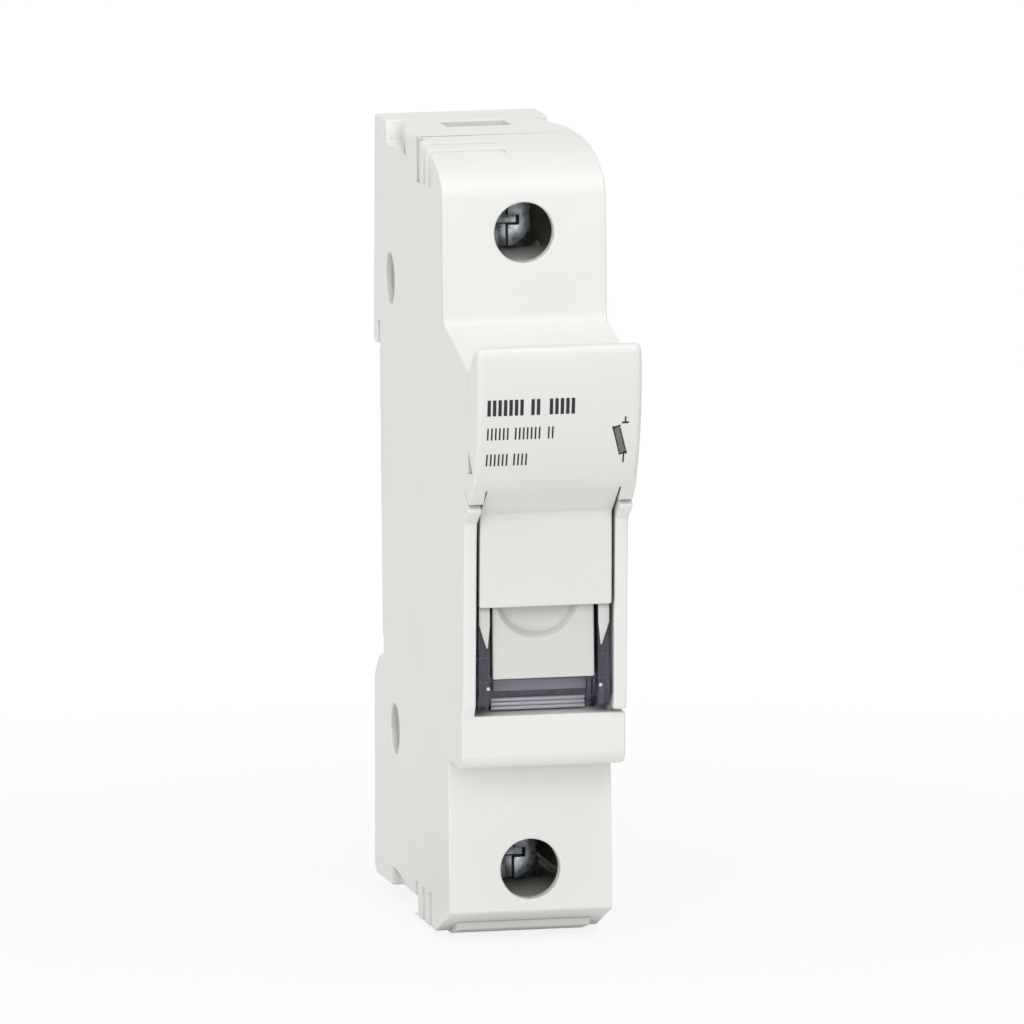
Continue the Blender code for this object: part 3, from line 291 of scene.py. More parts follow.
def joined_copy(node: str, name: str) -> Object:
    """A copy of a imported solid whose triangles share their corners.

    Args:
        node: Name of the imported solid.
        name: Name of the new piece.

    Returns:
        The new piece, at the origin, replacing the solid.
    """
    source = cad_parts[node]
    piece = source.copy()
    piece.data = source.data.copy()
    piece.name = name
    piece.parent = None
    piece.matrix_world = Matrix.Identity(4)
    bpy.context.scene.collection.objects.link(piece)
    activate(piece)
    bpy.ops.object.mode_set(mode="EDIT")
    bpy.ops.mesh.select_all(action="SELECT")
    bpy.ops.mesh.remove_doubles(threshold=MERGE_DISTANCE)
    bpy.ops.object.mode_set(mode="OBJECT")
    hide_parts(node)
    return piece


def rounded_copy(
    node: str, name: str, width: float, segments: int = 2, crisp: tuple = (), unmerged: tuple = ()
) -> Object:
    """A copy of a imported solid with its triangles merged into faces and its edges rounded.

    Args:
        node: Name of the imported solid.
        name: Name of the new piece.
        width: Width of the rounding in metres.
        segments: Faces across the rounding.
        crisp: Boxes in which the rounding is smaller, as for add_bevel.
        unmerged: Boxes, in millimetres, in which the triangles stay as they are.

    Returns:
        The new piece, at the origin, replacing the solid.
    """
    piece = joined_copy(node, name)
    activate(piece)
    bpy.ops.object.mode_set(mode="EDIT")
    bpy.ops.mesh.select_mode(type="FACE")
    bpy.ops.mesh.select_all(action="SELECT")
    form = bmesh.from_edit_mesh(piece.data)
    for face in form.faces:
        middle = face.calc_center_median() / MM
        if any(inside(middle, low, high) for low, high in unmerged):
            face.select_set(False)
    bmesh.update_edit_mesh(piece.data)
    bpy.ops.mesh.dissolve_limited(angle_limit=FLAT_ANGLE)
    bpy.ops.mesh.select_mode(type="VERT")
    bpy.ops.object.mode_set(mode="OBJECT")
    add_bevel(piece, width, segments=segments, crisp=crisp)
    smooth(piece)
    level_faces(piece)
    return piece


def add_block(name: str, centre: Vector, size: Vector) -> Object:
    """Adds a block.

    Args:
        name: The block's name.
        centre: Its middle in metres.
        size: Its size along each axis in metres.

    Returns:
        The block.
    """
    deselect_all()
    bpy.ops.mesh.primitive_cube_add(size=1.0, location=centre)
    block = bpy.context.object
    block.name = name
    block.scale = size
    settle(block)
    return block


def add_cylinder(
    name: str, radius: float, length: float, centre: Vector, axis: Axis, sides: int
) -> Object:
    """Adds a cylinder.

    Args:
        name: The cylinder's name.
        radius: Its radius in metres.
        length: Its length in metres.
        centre: Its middle in metres.
        axis: The axis that it lies along.
        sides: How many faces go round it.

    Returns:
        The cylinder.
    """
    deselect_all()
    bpy.ops.mesh.primitive_cylinder_add(
        vertices=sides, radius=radius, depth=length, location=centre, rotation=axis.value
    )
    cylinder = bpy.context.object
    cylinder.name = name
    settle(cylinder)
    return cylinder


def joined(pieces: list[Object]) -> Object:
    """Joins pieces into the first of them, at the origin.

    Args:
        pieces: The pieces to join.

    Returns:
        The first piece, which now holds them all.
    """
    deselect_all()
    for piece in pieces:
        piece.select_set(True)
    bpy.context.view_layer.objects.active = pieces[0]
    bpy.ops.object.join()
    settle(pieces[0])
    return pieces[0]


def ride(piece: Object, body: Body) -> Object:
    """Makes a piece move with a body and logs its name, body and face count.

    Args:
        piece: The finished piece.
        body: The moving group that carries it.

    Returns:
        The same piece.
    """
    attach(piece, body.value)
    LOG.info("%s rides on %s, %d faces", piece.name, body.value, len(piece.data.polygons))
    return piece


class NodeBench:
    """Adds and wires shader nodes in one tree."""

    def __init__(self, tree: NodeTree) -> None:
        """Starts on the node tree that it fills."""
        self.tree = tree
        self.column = 0

    def add(self, kind: str, **settings: object) -> Node:
        """Adds a node and sets its properties and input sockets.

        Args:
            kind: The node's type name.
            settings: Properties by name, and what feeds the input sockets, by name with _ for
                each space.

        Returns:
            The new node.
        """
        node = self.tree.nodes.new(kind)
        self.column += 1
        node.location = (self.column * 190.0, -(self.column % 4) * 170.0)
        for key, value in settings.items():
            if hasattr(node, key):
                setattr(node, key, value)
            else:
                self.feed(node.inputs[key.replace("_", " ")], value)
        return node

    def feed(self, socket: NodeSocket, value: object) -> None:
        """Wires or sets an input socket.

        Args:
            socket: The input socket.
            value: The output socket that feeds it, or its value.
        """
        if isinstance(value, NodeSocket):
            self.tree.links.new(value, socket)
        else:
            socket.default_value = value

    def feed_all(self, node: Node, values: dict[str, object]) -> None:
        """Feeds the input sockets of a node by their names."""
        for label, value in values.items():
            self.feed(node.inputs[label], value)

    def effect(self, group: NodeTree, **values: float) -> NodeSocket:
        """Places a shared group with its own values and gives the group's output."""
        return self.add("ShaderNodeGroup", node_tree=group, **values).outputs[0]

    def maths(self, operation: str, *values: object) -> NodeSocket:
        """Adds a Math node.

        Args:
            operation: The node's operation.
            values: Its sockets or numbers in order.

        Returns:
            The result socket.
        """
        node = self.add("ShaderNodeMath", operation=operation)
        for socket, value in zip(node.inputs, values):
            self.feed(socket, value)
        return node.outputs[0]

    def seen(self) -> NodeSocket:
        """Tells what the camera sees, also through and mirrored in a piece, from what lights it.

        Returns:
            A socket that is 1 where it is seen.
        """
        path = self.add("ShaderNodeLightPath")
        rays = [path.outputs[f"Is {kind} Ray"] for kind in ("Camera", "Transmission", "Glossy")]
        return self.maths("MAXIMUM", self.maths("MAXIMUM", rays[0], rays[1]), rays[2])


def new_group(
    name: str, inputs: dict[str, float], output: str, kind: str = "NodeSocketFloat"
) -> tuple[NodeTree, NodeBench]:
    """Makes an empty shader node group with named sockets.

    Args:
        name: The group's name.
        inputs: Value inputs and their defaults.
        output: Name of the output.
        kind: The output's socket type.

    Returns:
        The group and a bench on it that holds its Group Input and Group Output.
    """
    group = bpy.data.node_groups.new(name, "ShaderNodeTree")
    for label, default in inputs.items():
        socket = group.interface.new_socket(
            name=label, in_out="INPUT", socket_type="NodeSocketFloat"
        )
        socket.default_value = default
    group.interface.new_socket(name=output, in_out="OUTPUT", socket_type=kind)
    return group, NodeBench(group)


class Effects:
    """Node groups that several finishes share."""

    def __init__(self) -> None:
        """Builds the grain, the cloudiness and the painted crevice shade groups once."""
        self.grain = self._grain()
        self.cloud = self._cloud()
        self.crevice = self._crevice()

    @staticmethod
    def _noise(bench: NodeBench, detail: float, roughness: float) -> tuple[Node, NodeSocket]:
        """Adds a group's entry and a noise over the object, as large as the entry's Size.

        Args:
            bench: The group's bench.
            detail: Octaves of the noise.
            roughness: Weight of the finer octaves.

        Returns:
            The Group Input node and the noise's value.
        """
        entry = bench.add("NodeGroupInput")
        place = bench.add("ShaderNodeTexCoord")
        noise = bench.add(
            "ShaderNodeTexNoise", Detail=detail, Roughness=roughness,
            Vector=place.outputs["Object"], Scale=bench.maths("DIVIDE", 1.0, entry.outputs["Size"]),
        )
        return entry, noise.outputs["Fac"]

    @staticmethod
    def _grain() -> NodeTree:
        """Fine eroded texture of a mould.

        Returns:
            A group with Size and Depth in, and Normal out.
        """
        sizes = {"Size": 0.00025, "Depth": 0.00001}
        group, bench = new_group("mould_grain", sizes, "Normal", "NodeSocketVector")
        entry, noise = Effects._noise(bench, 2.0, 0.55)
        depth = entry.outputs["Depth"]
        bump = bench.add("ShaderNodeBump", Strength=1.0, Distance=depth, Height=noise)
        bench.add("NodeGroupOutput", Normal=bump.outputs["Normal"])
        return group

    @staticmethod
    def _cloud() -> NodeTree:
        """Broad soft mottling, for slight changes of tone and gloss.

        Returns:
            A group with Size, Low and High in, and Value out.
        """
        sizes = {"Size": 0.01, "Low": 0.96, "High": 1.0}
        group, bench = new_group("cloud", sizes, "Value")
        entry, noise = Effects._noise(bench, 4.0, 0.6)
        spread = bench.add(
            "ShaderNodeMapRange", clamp=True, Value=noise, From_Min=0.3, From_Max=0.7,
            To_Min=entry.outputs["Low"], To_Max=entry.outputs["High"],
        )
        bench.add("NodeGroupOutput", Value=spread.outputs["Result"])
        return group

    @staticmethod
    def _crevice() -> NodeTree:
        """Painted shade that darkens the colour where surfaces come close together.

        Returns:
            A group with Reach and Depth in, and Value out.
        """
        sizes = {"Reach": 0.0015, "Depth": 0.2}
        group, bench = new_group("crevice", sizes, "Value")
        entry = bench.add("NodeGroupInput")
        reach = entry.outputs["Reach"]
        near = bench.add("ShaderNodeAmbientOcclusion", samples=4, only_local=False, Distance=reach)
        hidden = bench.maths("SUBTRACT", 1.0, near.outputs["AO"])
        shade = bench.maths("MULTIPLY", hidden, entry.outputs["Depth"])
        bench.add("NodeGroupOutput", Value=bench.maths("SUBTRACT", 1.0, shade))
        return group


EFFECTS = Effects()


@dataclass(frozen=True)
class Finish:
    """A surface finish: a colour with cloudiness and painted crevice shade, a roughness and a
    grain.

    Attributes:
        name, colour: Name of the material and its linear colour.
        roughness, metallic: Mean roughness, and 0 for plastic or 1 for metal.
        grain_size, grain_depth: Size and depth of the surface texture in metres.
        tone_low, tone_size: Darkest tone of the mottling and its size in metres.
        gloss_spread: How far the roughness changes over the mottling.
        coat, transmission: Weight of a clear coat and share of light that passes through.
        ior: Index of refraction.
        subsurface, glow_reach: Weight and reach of light scattered under the surface.
        crevice_shade, crevice_shade_reach: How far crevices are darkened by painted shade, and how
            close their surfaces are.
        shade_pass: Share of light that goes straight through to what lies behind.
    """

    name: str
    colour: tuple[float, float, float]
    roughness: float
    metallic: float = 0.0
    grain_size: float = 0.0003
    grain_depth: float = 0.000008
    tone_low: float = 0.97
    tone_size: float = 0.012
    gloss_spread: float = 0.06
    coat: float = 0.0
    transmission: float = 0.0
    ior: float = 1.5
    subsurface: float = 0.0
    glow_reach: float = 0.0011
    crevice_shade: float = 0.3
    crevice_shade_reach: float = 0.0014
    shade_pass: float = 0.0

    def build(self) -> Material:
        """Makes the material.

        Returns:
            A new material, or the one made before.
        """
        made = bpy.data.materials.get(self.name)
        if made:
            return made
        look = bpy.data.materials.new(self.name)
        look.use_nodes = True
        bench = NodeBench(look.node_tree)
        shader = look.node_tree.nodes["Principled BSDF"]
        tone = bench.effect(EFFECTS.cloud, Size=self.tone_size, Low=self.tone_low, High=1.0)
        # Painted shade: ambient occlusion darkens the colour in crevices and near other surfaces.
        crevice_shade = bench.effect(EFFECTS.crevice, Reach=self.crevice_shade_reach, Depth=self.crevice_shade)
        value = bench.maths("MULTIPLY", tone, crevice_shade)
        tint = bench.add("ShaderNodeMix", data_type="RGBA", blend_type="MULTIPLY")
        for socket, feed in zip((0, 6, 7), (1.0, (*self.colour, 1.0), value)):
            bench.feed(tint.inputs[socket], feed)
        low, high = (self.roughness + way * self.gloss_spread / 2 for way in (-1, 1))
        gloss = bench.effect(EFFECTS.cloud, Size=self.tone_size / 3, Low=low, High=high)
        grain = bench.effect(EFFECTS.grain, Size=self.grain_size, Depth=self.grain_depth)
        bench.feed_all(shader, {
            "Base Color": tint.outputs[2], "Metallic": self.metallic, "IOR": self.ior,
            "Roughness": gloss, "Normal": grain, "Subsurface Scale": 1.0,
            "Transmission Weight": self.transmission, "Coat Weight": self.coat,
            "Subsurface Weight": self.subsurface,
            "Subsurface Radius": (self.glow_reach * 1.1, self.glow_reach, self.glow_reach * 0.9),
        })
        if self.shade_pass:
            shadow = bench.add("ShaderNodeLightPath").outputs["Is Shadow Ray"]
            solid = bench.maths("MULTIPLY_ADD", shadow, -self.shade_pass, 1.0)
            bench.feed(shader.inputs["Alpha"], solid)
        return look


WHITE = Finish("satin_white_plastic", (0.84, 0.836, 0.808), 0.49, subsurface=0.06, crevice_shade=0.32)
COVER_WHITE = replace(WHITE, name="satin_white_cover", roughness=0.5)
HANDLE_WHITE = Finish(
    "smooth_white_handle", (0.79, 0.785, 0.758), 0.38,
    grain_depth=0.000005, subsurface=0.06, crevice_shade=0.5,
)
INNER_WALL = Finish(
    "translucent_inner_wall", (0.84, 0.84, 0.80), 0.6, subsurface=0.6, glow_reach=0.0024, crevice_shade=0.1,
)
# Painted shade: a darker copy of the inner wall for the lower chambers, so that their holes look
# darker.
SHADE_PAINTED_WALL = replace(
    INNER_WALL, name="painted_shade_inner_wall", colour=(0.50, 0.50, 0.47), subsurface=0.5,
)
# Strong painted crevice shade, for the dark line under the front panel's edge and round the dish's
# rim.
THUMB_GREY = Finish(
    "light_grey_thumb_panel", (0.70, 0.695, 0.67), 0.4,
    subsurface=0.04, crevice_shade=0.85, crevice_shade_reach=0.0007,
)
SMOKED = Finish(
    "smoked_polycarbonate", (0.30, 0.28, 0.42), 0.06, transmission=0.92, ior=1.58,
    grain_size=0.004, grain_depth=0.00001, gloss_spread=0.03, crevice_shade=0.0, shade_pass=0.6,
)
CLIP_WHITE = Finish("white_polyamide", (0.76, 0.76, 0.73), 0.5, subsurface=0.08)
# Painted light: a pale copy of the smoked polycarbonate, for the lit bands along the cross bar's
# ribs.
LIGHT_PAINTED_SMOKED = Finish(
    "painted_light_smoked_polycarbonate", (0.72, 0.72, 0.78), 0.12, transmission=0.25, ior=1.58,
    grain_size=0.004, grain_depth=0.00001, gloss_spread=0.04, crevice_shade=0.1, shade_pass=0.4,
)
# Painted shade: a dark copy of the smoked polycarbonate, for the shaded band along the cross bar's
# lip.
SHADE_PAINTED_SMOKED = replace(
    LIGHT_PAINTED_SMOKED, name="painted_shade_smoked_polycarbonate", colour=(0.27, 0.27, 0.33), roughness=0.2,
    transmission=0.2,
)
ZINC = Finish(
    "blue_zinc_plate", (0.50, 0.56, 0.60), 0.32, metallic=0.85, tone_low=0.3, tone_size=0.0013,
    grain_size=0.0002, grain_depth=0.00001, gloss_spread=0.2,
)
RIVET_STEEL = Finish(
    "rivet_steel", (0.46, 0.46, 0.45), 0.34,
    metallic=0.9, tone_low=0.75, tone_size=0.002, gloss_spread=0.1,
)
NICKEL = Finish(
    "nickel_plate", (0.73, 0.71, 0.67), 0.22, metallic=1.0, tone_low=0.9, gloss_spread=0.12,
)
TINNED = Finish(
    "tinned_copper", (0.72, 0.70, 0.67), 0.33, metallic=1.0, tone_low=0.85, tone_size=0.003,
)
SPRING = Finish(
    "spring_steel", (0.36, 0.37, 0.39), 0.28, metallic=1.0, tone_low=0.8, tone_size=0.002,
)
CERAMIC = Finish(
    "glazed_ceramic", (0.82, 0.80, 0.75), 0.22, coat=0.5, tone_low=0.95, grain_depth=0.000003,
)
SILVER = Finish("silver_strip", (0.85, 0.84, 0.80), 0.25, metallic=1.0)
INK = Finish(
    "black_pad_print", (0.012, 0.012, 0.014), 0.45,
    tone_low=0.8, tone_size=0.0008, grain_depth=0.000002,
)
PALE_INK = replace(INK, name="grey_pad_print", colour=(0.17, 0.17, 0.16), tone_size=0.0006)


def dress(piece: Object, finish: Finish) -> Object:
    """Gives a piece one finish.

    Args:
        piece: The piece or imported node.
        finish: The finish.

    Returns:
        The same piece.
    """
    piece.data.materials.clear()
    piece.data.materials.append(finish.build())
    return piece


@dataclass
class Housing:
    """Body moulding and side cover.

    Attributes:
        rounding: Radius of the mouldings' edges.
        grooves: Boxes round the left side's grooves, in millimetres as all boxes are, and their
            share of the rounding.
        rivet_seats: Boxes round the ring faces that the rivets pass through.
        chambers: Boxes whose walls only get light through the plastic, and their finish, which in
            the lower chambers is a darker copy with painted shade.
    """

    rounding: float = 0.22 * MM
    grooves: tuple = (
        ((-8.8, -34.0, 33.0), (-6.9, -24.2, 40.1), 0.3),
        ((-8.8, -24.2, 33.0), (-6.9, -19.0, 40.1), 0.0),
        ((-8.8, -34.0, -43.8), (-6.9, -14.0, -36.5), 0.3),
    )
    rivet_seats: tuple = (
        ((5.5, -9.2, 20.2), (6.4, -3.2, 26.2)),
        ((5.5, -9.2, -28.3), (6.4, -3.2, -22.3)),
    )
    chambers: tuple = (
        ((-7.4, -34.7, 20.0), (7.4, -1.0, 38.7), INNER_WALL),
        ((-7.4, -34.7, -42.4), (7.4, -1.0, -18.7), SHADE_PAINTED_WALL),
        ((-7.4, -43.0, -24.0), (7.4, -1.0, 20.0), INNER_WALL),
        ((7.2, -45.5, 20.0), (7.4, -1.0, 38.7), INNER_WALL),
        ((7.2, -45.5, -42.4), (7.4, -1.0, -18.7), SHADE_PAINTED_WALL),
    )

    def build(self) -> None:
        """Makes both mouldings and dresses the walls of the inner chambers."""
        for node, name, finish, slot in (
            ("housing_shell", "housing_moulding", WHITE, "housing"),
            ("side_cover", "cover_moulding", COVER_WHITE, "cover"),
        ):
            piece = rounded_copy(
                node, name, self.rounding, crisp=self.grooves, unmerged=self.rivet_seats
            )
            dress(piece, finish)
            self.shade_chambers(piece)
            ride(piece, Body.BASE)

    def shade_chambers(self, piece: Object) -> None:
        """Gives the faces inside the chambers the inner finish, with painted shade in the lower
        ones.

        Args:
            piece: A moulding whose outer finish is its first slot.
        """
        for finish in (INNER_WALL, SHADE_PAINTED_WALL):
            piece.data.materials.append(finish.build())
        corners = [vertex.co / MM for vertex in piece.data.vertices]
        for face in piece.data.polygons:
            for low, high, finish in self.chambers:
                if all(inside(corners[index], low, high) for index in face.vertices):
                    face.material_index = piece.data.materials.find(finish.name)
                    break


@dataclass
class Carrier:
    """Swing-out carrier: handle, smoked frame, thumb panel and print.

    Sizes are in millimetres where they aren't multiplied by MM.

    Attributes:
        rounding, fine_rounding: Radius of the edges of the handle and of the other mouldings.
        print_lift, print_start: Thickness of the ink and depth from which it is laid on.
        rows: Level, bar height, bar width, gap and words (start, bars) of each printed row.
        symbol: Middle across, middle up, width, height and lean of each of its strokes.
        symbol_fill: The same for the grey patch inside the symbol.
        cheek_edges, cheek_front: Inner and outer edge of the smoked cheeks, and their front.
        tongue_edges, tongue_levels: Inner and outer edge, tip and top of the two tongues.
        tongue_size: How far they stand in front of the cheeks, thickness and rounding.
        tongue_point, tongue_taper: How far outside the inner edge their tip lies, and the share
            of their size along each axis that is left there.
        ledges, ledge_size: Levels of the cheeks' ledges, how far they stand proud, half of their
            height, and rounding.
        pip_place, pip_size: Place across and level of the hinge pips, radius, length, rounding.
        bar_front, bar_reach: Depth of the cross bar's front and half of its length.
        lip_levels, lip_size: Lowest and highest level of the bar's lip, how far it stands proud,
            how deep it sits in, and rounding.
        bar_ribs, rib_size: Levels of the bar's ribs, their radius, how far their middles stand
            proud, and rounding.
        slits: Boxes round the handle's slits and slots, and their share of the rounding.
    """

    rounding: float = 0.2 * MM
    fine_rounding: float = 0.15 * MM
    print_lift: float = 0.015 * MM
    print_start: float = -58.0 * MM
    rows: tuple = (
        (15.3, 1.7, 0.36, 0.22, ((-7.7, 7), (-3.05, 2), (-1.1, 5))),
        (12.5, 1.3, 0.17, 0.25, ((-7.65, 6), (-4.7, 7), (-1.2, 2))),
        (9.65, 1.3, 0.17, 0.25, ((-7.6, 6), (-4.7, 4))),
    )
    symbol: tuple = (
        (6.08, 11.5, 0.16, 2.95, 16.0), (6.84, 11.28, 0.16, 2.95, 16.0),
        (6.06, 12.86, 0.9, 0.2, 16.0), (6.87, 9.98, 0.9, 0.2, 16.0),
        (6.99, 13.63, 0.17, 0.66, 0.0), (6.99, 13.3, 0.72, 0.2, 0.0), (6.98, 9.4, 0.17, 1.0, 0.0),
    )
    symbol_fill: tuple = (6.46, 11.4, 0.72, 2.9, 16.0)
    cheek_edges: tuple = (5.8, 7.0)
    cheek_front: float = -44.3
    tongue_edges: tuple = (5.8, 6.95)
    tongue_levels: tuple = (-11.3, -6.4)
    tongue_size: tuple = (0.16, 0.3, 0.06)
    tongue_point: float = 0.25
    tongue_taper: tuple = (0.12, 0.5, 1.0)
    ledges: tuple = (-12.3, -14.85)
    ledge_size: tuple = (0.1, 0.12, 0.05)
    pip_place: tuple = (6.0, -15.6)
    pip_size: tuple = (0.19, 0.2, 0.08)
    bar_front: float = -40.5
    bar_reach: float = 5.0
    lip_levels: tuple = (-16.3, -15.02)
    lip_size: tuple = (1.25, 0.1, 0.12)
    bar_ribs: tuple = (-17.35, -17.8, -18.25)
    rib_size: tuple = (0.21, 0.05, 0.05)
    slits: tuple = (
        ((-7.6, -60.0, 2.0), (-6.2, -44.0, 8.6), 0.2),
        ((6.2, -60.0, 2.0), (7.6, -44.0, 8.6), 0.2),
        ((-8.8, -52.2, 7.0), (-7.0, -48.4, 11.0), 0.0),
        ((7.0, -52.2, 7.0), (8.8, -48.4, 11.0), 0.0),
    )

    def build(self) -> None:
        """Makes the carrier's pieces."""
        handle = rounded_copy("handle", "handle_moulding", self.rounding, crisp=self.slits)
        ride(dress(handle, HANDLE_WHITE), Body.CARRIER)
        smoked = rounded_copy("carrier_frame", "smoked_carrier", self.fine_rounding)
        ride(dress(smoked, SMOKED), Body.CARRIER)
        thumb = rounded_copy("thumb_panel", "dished_thumb_panel", self.fine_rounding)
        ride(dress(thumb, THUMB_GREY), Body.CARRIER)
        ride(self.make_print(handle), Body.CARRIER)
        for side in Side:
            ride(dress(self.make_tongue(side), THUMB_GREY), Body.CARRIER)
            ride(dress(self.make_cheek_ribs(side), SMOKED), Body.CARRIER)
            ride(dress(self.make_pip(side), NICKEL), Body.CARRIER)
        # The cross bar's lip carries painted shade and its ribs painted light.
        ride(dress(self.make_bar_lip(), SHADE_PAINTED_SMOKED), Body.CARRIER)
        ride(dress(self.make_bar_ribs(), LIGHT_PAINTED_SMOKED), Body.CARRIER)

    def make_box(self, name: str, low: Vector, high: Vector, rounding: float) -> Object:
        """A small moulded block with rounded edges.

        Args:
            name: The piece's name.
            low: Its lowest corner in millimetres.
            high: Its highest corner in millimetres.
            rounding: Width of its rounded edges in metres.

        Returns:
            The block.
        """
        block = add_block(name, (low + high) * MM / 2, (high - low) * MM)
        add_bevel(block, rounding, 60.0, 3)
        smooth(block)
        return block

    def make_tongue(self, side: Side) -> Object:
        """Pale tongue that tapers down along one edge of the thumb panel.

        Args:
            side: Which side it is on.

        Returns:
            The tongue.
        """
        low, high = sorted(side.value * edge for edge in self.tongue_edges)
        end, top = self.tongue_levels
        proud, thick, rounding = self.tongue_size
        middle = Vector(((low + high) / 2, self.cheek_front - proud, (top + end) / 2))
        size = Vector((high - low, thick, top - end))
        tongue = add_block(f"{side.name.lower()}_panel_tongue", middle * MM, size * MM)
        activate(tongue)
        bpy.ops.object.mode_set(mode="EDIT")
        bpy.ops.mesh.select_all(action="SELECT")
        bpy.ops.mesh.subdivide(number_cuts=1)
        form = bmesh.from_edit_mesh(tongue.data)
        for vertex in form.verts:
            vertex.select = vertex.co.z < (end + 0.01) * MM
        form.select_flush(True)
        bmesh.update_edit_mesh(tongue.data)
        point = side.value * (self.tongue_edges[0] + self.tongue_point)
        tip = Vector((point, self.cheek_front, end)) * MM
        bpy.ops.transform.resize(value=self.tongue_taper, center_override=tip)
        bpy.ops.object.mode_set(mode="OBJECT")
        add_bevel(tongue, rounding * MM, 40.0, 2)
        smooth(tongue)
        return tongue

    def make_cheek_ribs(self, side: Side) -> Object:
        """Two fine ledges across the front of one smoked cheek.

        Args:
            side: Which side they are on.

        Returns:
            The ledges as one piece.
        """
        low, high = sorted(side.value * edge for edge in self.cheek_edges)
        proud, half, rounding = self.ledge_size
        name, ribs = f"{side.name.lower()}_cheek_ledges", []
        for level in self.ledges:
            near = Vector((low, self.cheek_front - proud, level - half))
            far = Vector((high, self.cheek_front + proud, level + half))
            ribs.append(self.make_box(name, near, far, rounding * MM))
        return joined(ribs)

    def make_pip(self, side: Side) -> Object:
        """Small domed pin end that catches the light at the hinge.

        Args:
            side: Which side it is on.

        Returns:
            The dome.
        """
        across, level = self.pip_place
        radius, length, rounding = self.pip_size
        place = Vector((side.value * across, self.cheek_front, level)) * MM
        name = f"{side.name.lower()}_hinge_pip"
        pip = add_cylinder(name, radius * MM, length * MM, place, Axis.Y, 32)
        add_bevel(pip, rounding * MM, 60.0, 4)
        smooth(pip, 60.0)
        return pip

    def make_bar_lip(self) -> Object:
        """Raised lip along the top of the cross bar.

        Returns:
            The lip.
        """
        low, high = self.lip_levels
        proud, sunk, rounding = self.lip_size
        near = Vector((-self.bar_reach, self.bar_front - proud, low))
        far = Vector((self.bar_reach, self.bar_front + sunk, high))
        return self.make_box("cross_bar_lip", near, far, rounding * MM)

    def make_bar_ribs(self) -> Object:
        """Three round ribs along the foot of the cross bar.

        Returns:
            The ribs as one piece.
        """
        radius, proud, rounding = self.rib_size
        length = self.bar_reach * 2 * MM
        ribs = []
        for level in self.bar_ribs:
            place = Vector((0.0, self.bar_front - proud, level)) * MM
            rib = add_cylinder("cross_bar_ribs", radius * MM, length, place, Axis.X, 24)
            add_bevel(rib, rounding * MM, 60.0, 2)
            smooth(rib)
            ribs.append(rib)
        return joined(ribs)

    def make_print(self, handle: Object) -> Object:
        """Three rows of plain bars and the circuit symbol of a fuse, laid on the handle's front.

        Args:
            handle: The handle that the ink lies on.

        Returns:
            The ink as one piece.
        """
        strokes = []
        for level, height, block, gap, words in self.rows:
            for start, count in words:
                for number in range(count):
                    middle = start + block / 2 + number * (block + gap)
                    strokes.append((middle, level, block, height, 0.0))
        strokes += self.symbol
        pieces = [self.make_stroke(handle, stroke) for stroke in strokes]
        for piece in pieces:
            dress(piece, INK)
        pieces.append(dress(self.make_stroke(handle, self.symbol_fill), PALE_INK))
        ink = joined(pieces)
        ink.name = "handle_print"
        return ink

    def make_stroke(self, handle: Object, stroke: tuple) -> Object:
        """One printed stroke that follows the handle's curve.

        Args:
            handle: The handle that the ink lies on.
            stroke: Middle across and up, width and height in millimetres, and lean in degrees.

        Returns:
            The stroke.
        """
        x, z, width, height, lean = stroke
        deselect_all()
        bpy.ops.mesh.primitive_grid_add(
            x_subdivisions=2, y_subdivisions=10, size=1.0,
            location=(x * MM, self.print_start, z * MM),
            rotation=(math.pi / 2, math.radians(-lean), 0.0),
        )
        ink = bpy.context.object
        ink.scale = (width * MM, height * MM, 1.0)
        settle(ink)
        wrap = ink.modifiers.new("lay", "SHRINKWRAP")
        wrap.target = handle
        wrap.wrap_method = "PROJECT"
        wrap.use_project_x = wrap.use_project_z = False
        wrap.use_project_y = True
        wrap.use_positive_direction = wrap.use_negative_direction = True
        wrap.offset = self.print_lift
        apply_modifiers(ink)
        return ink


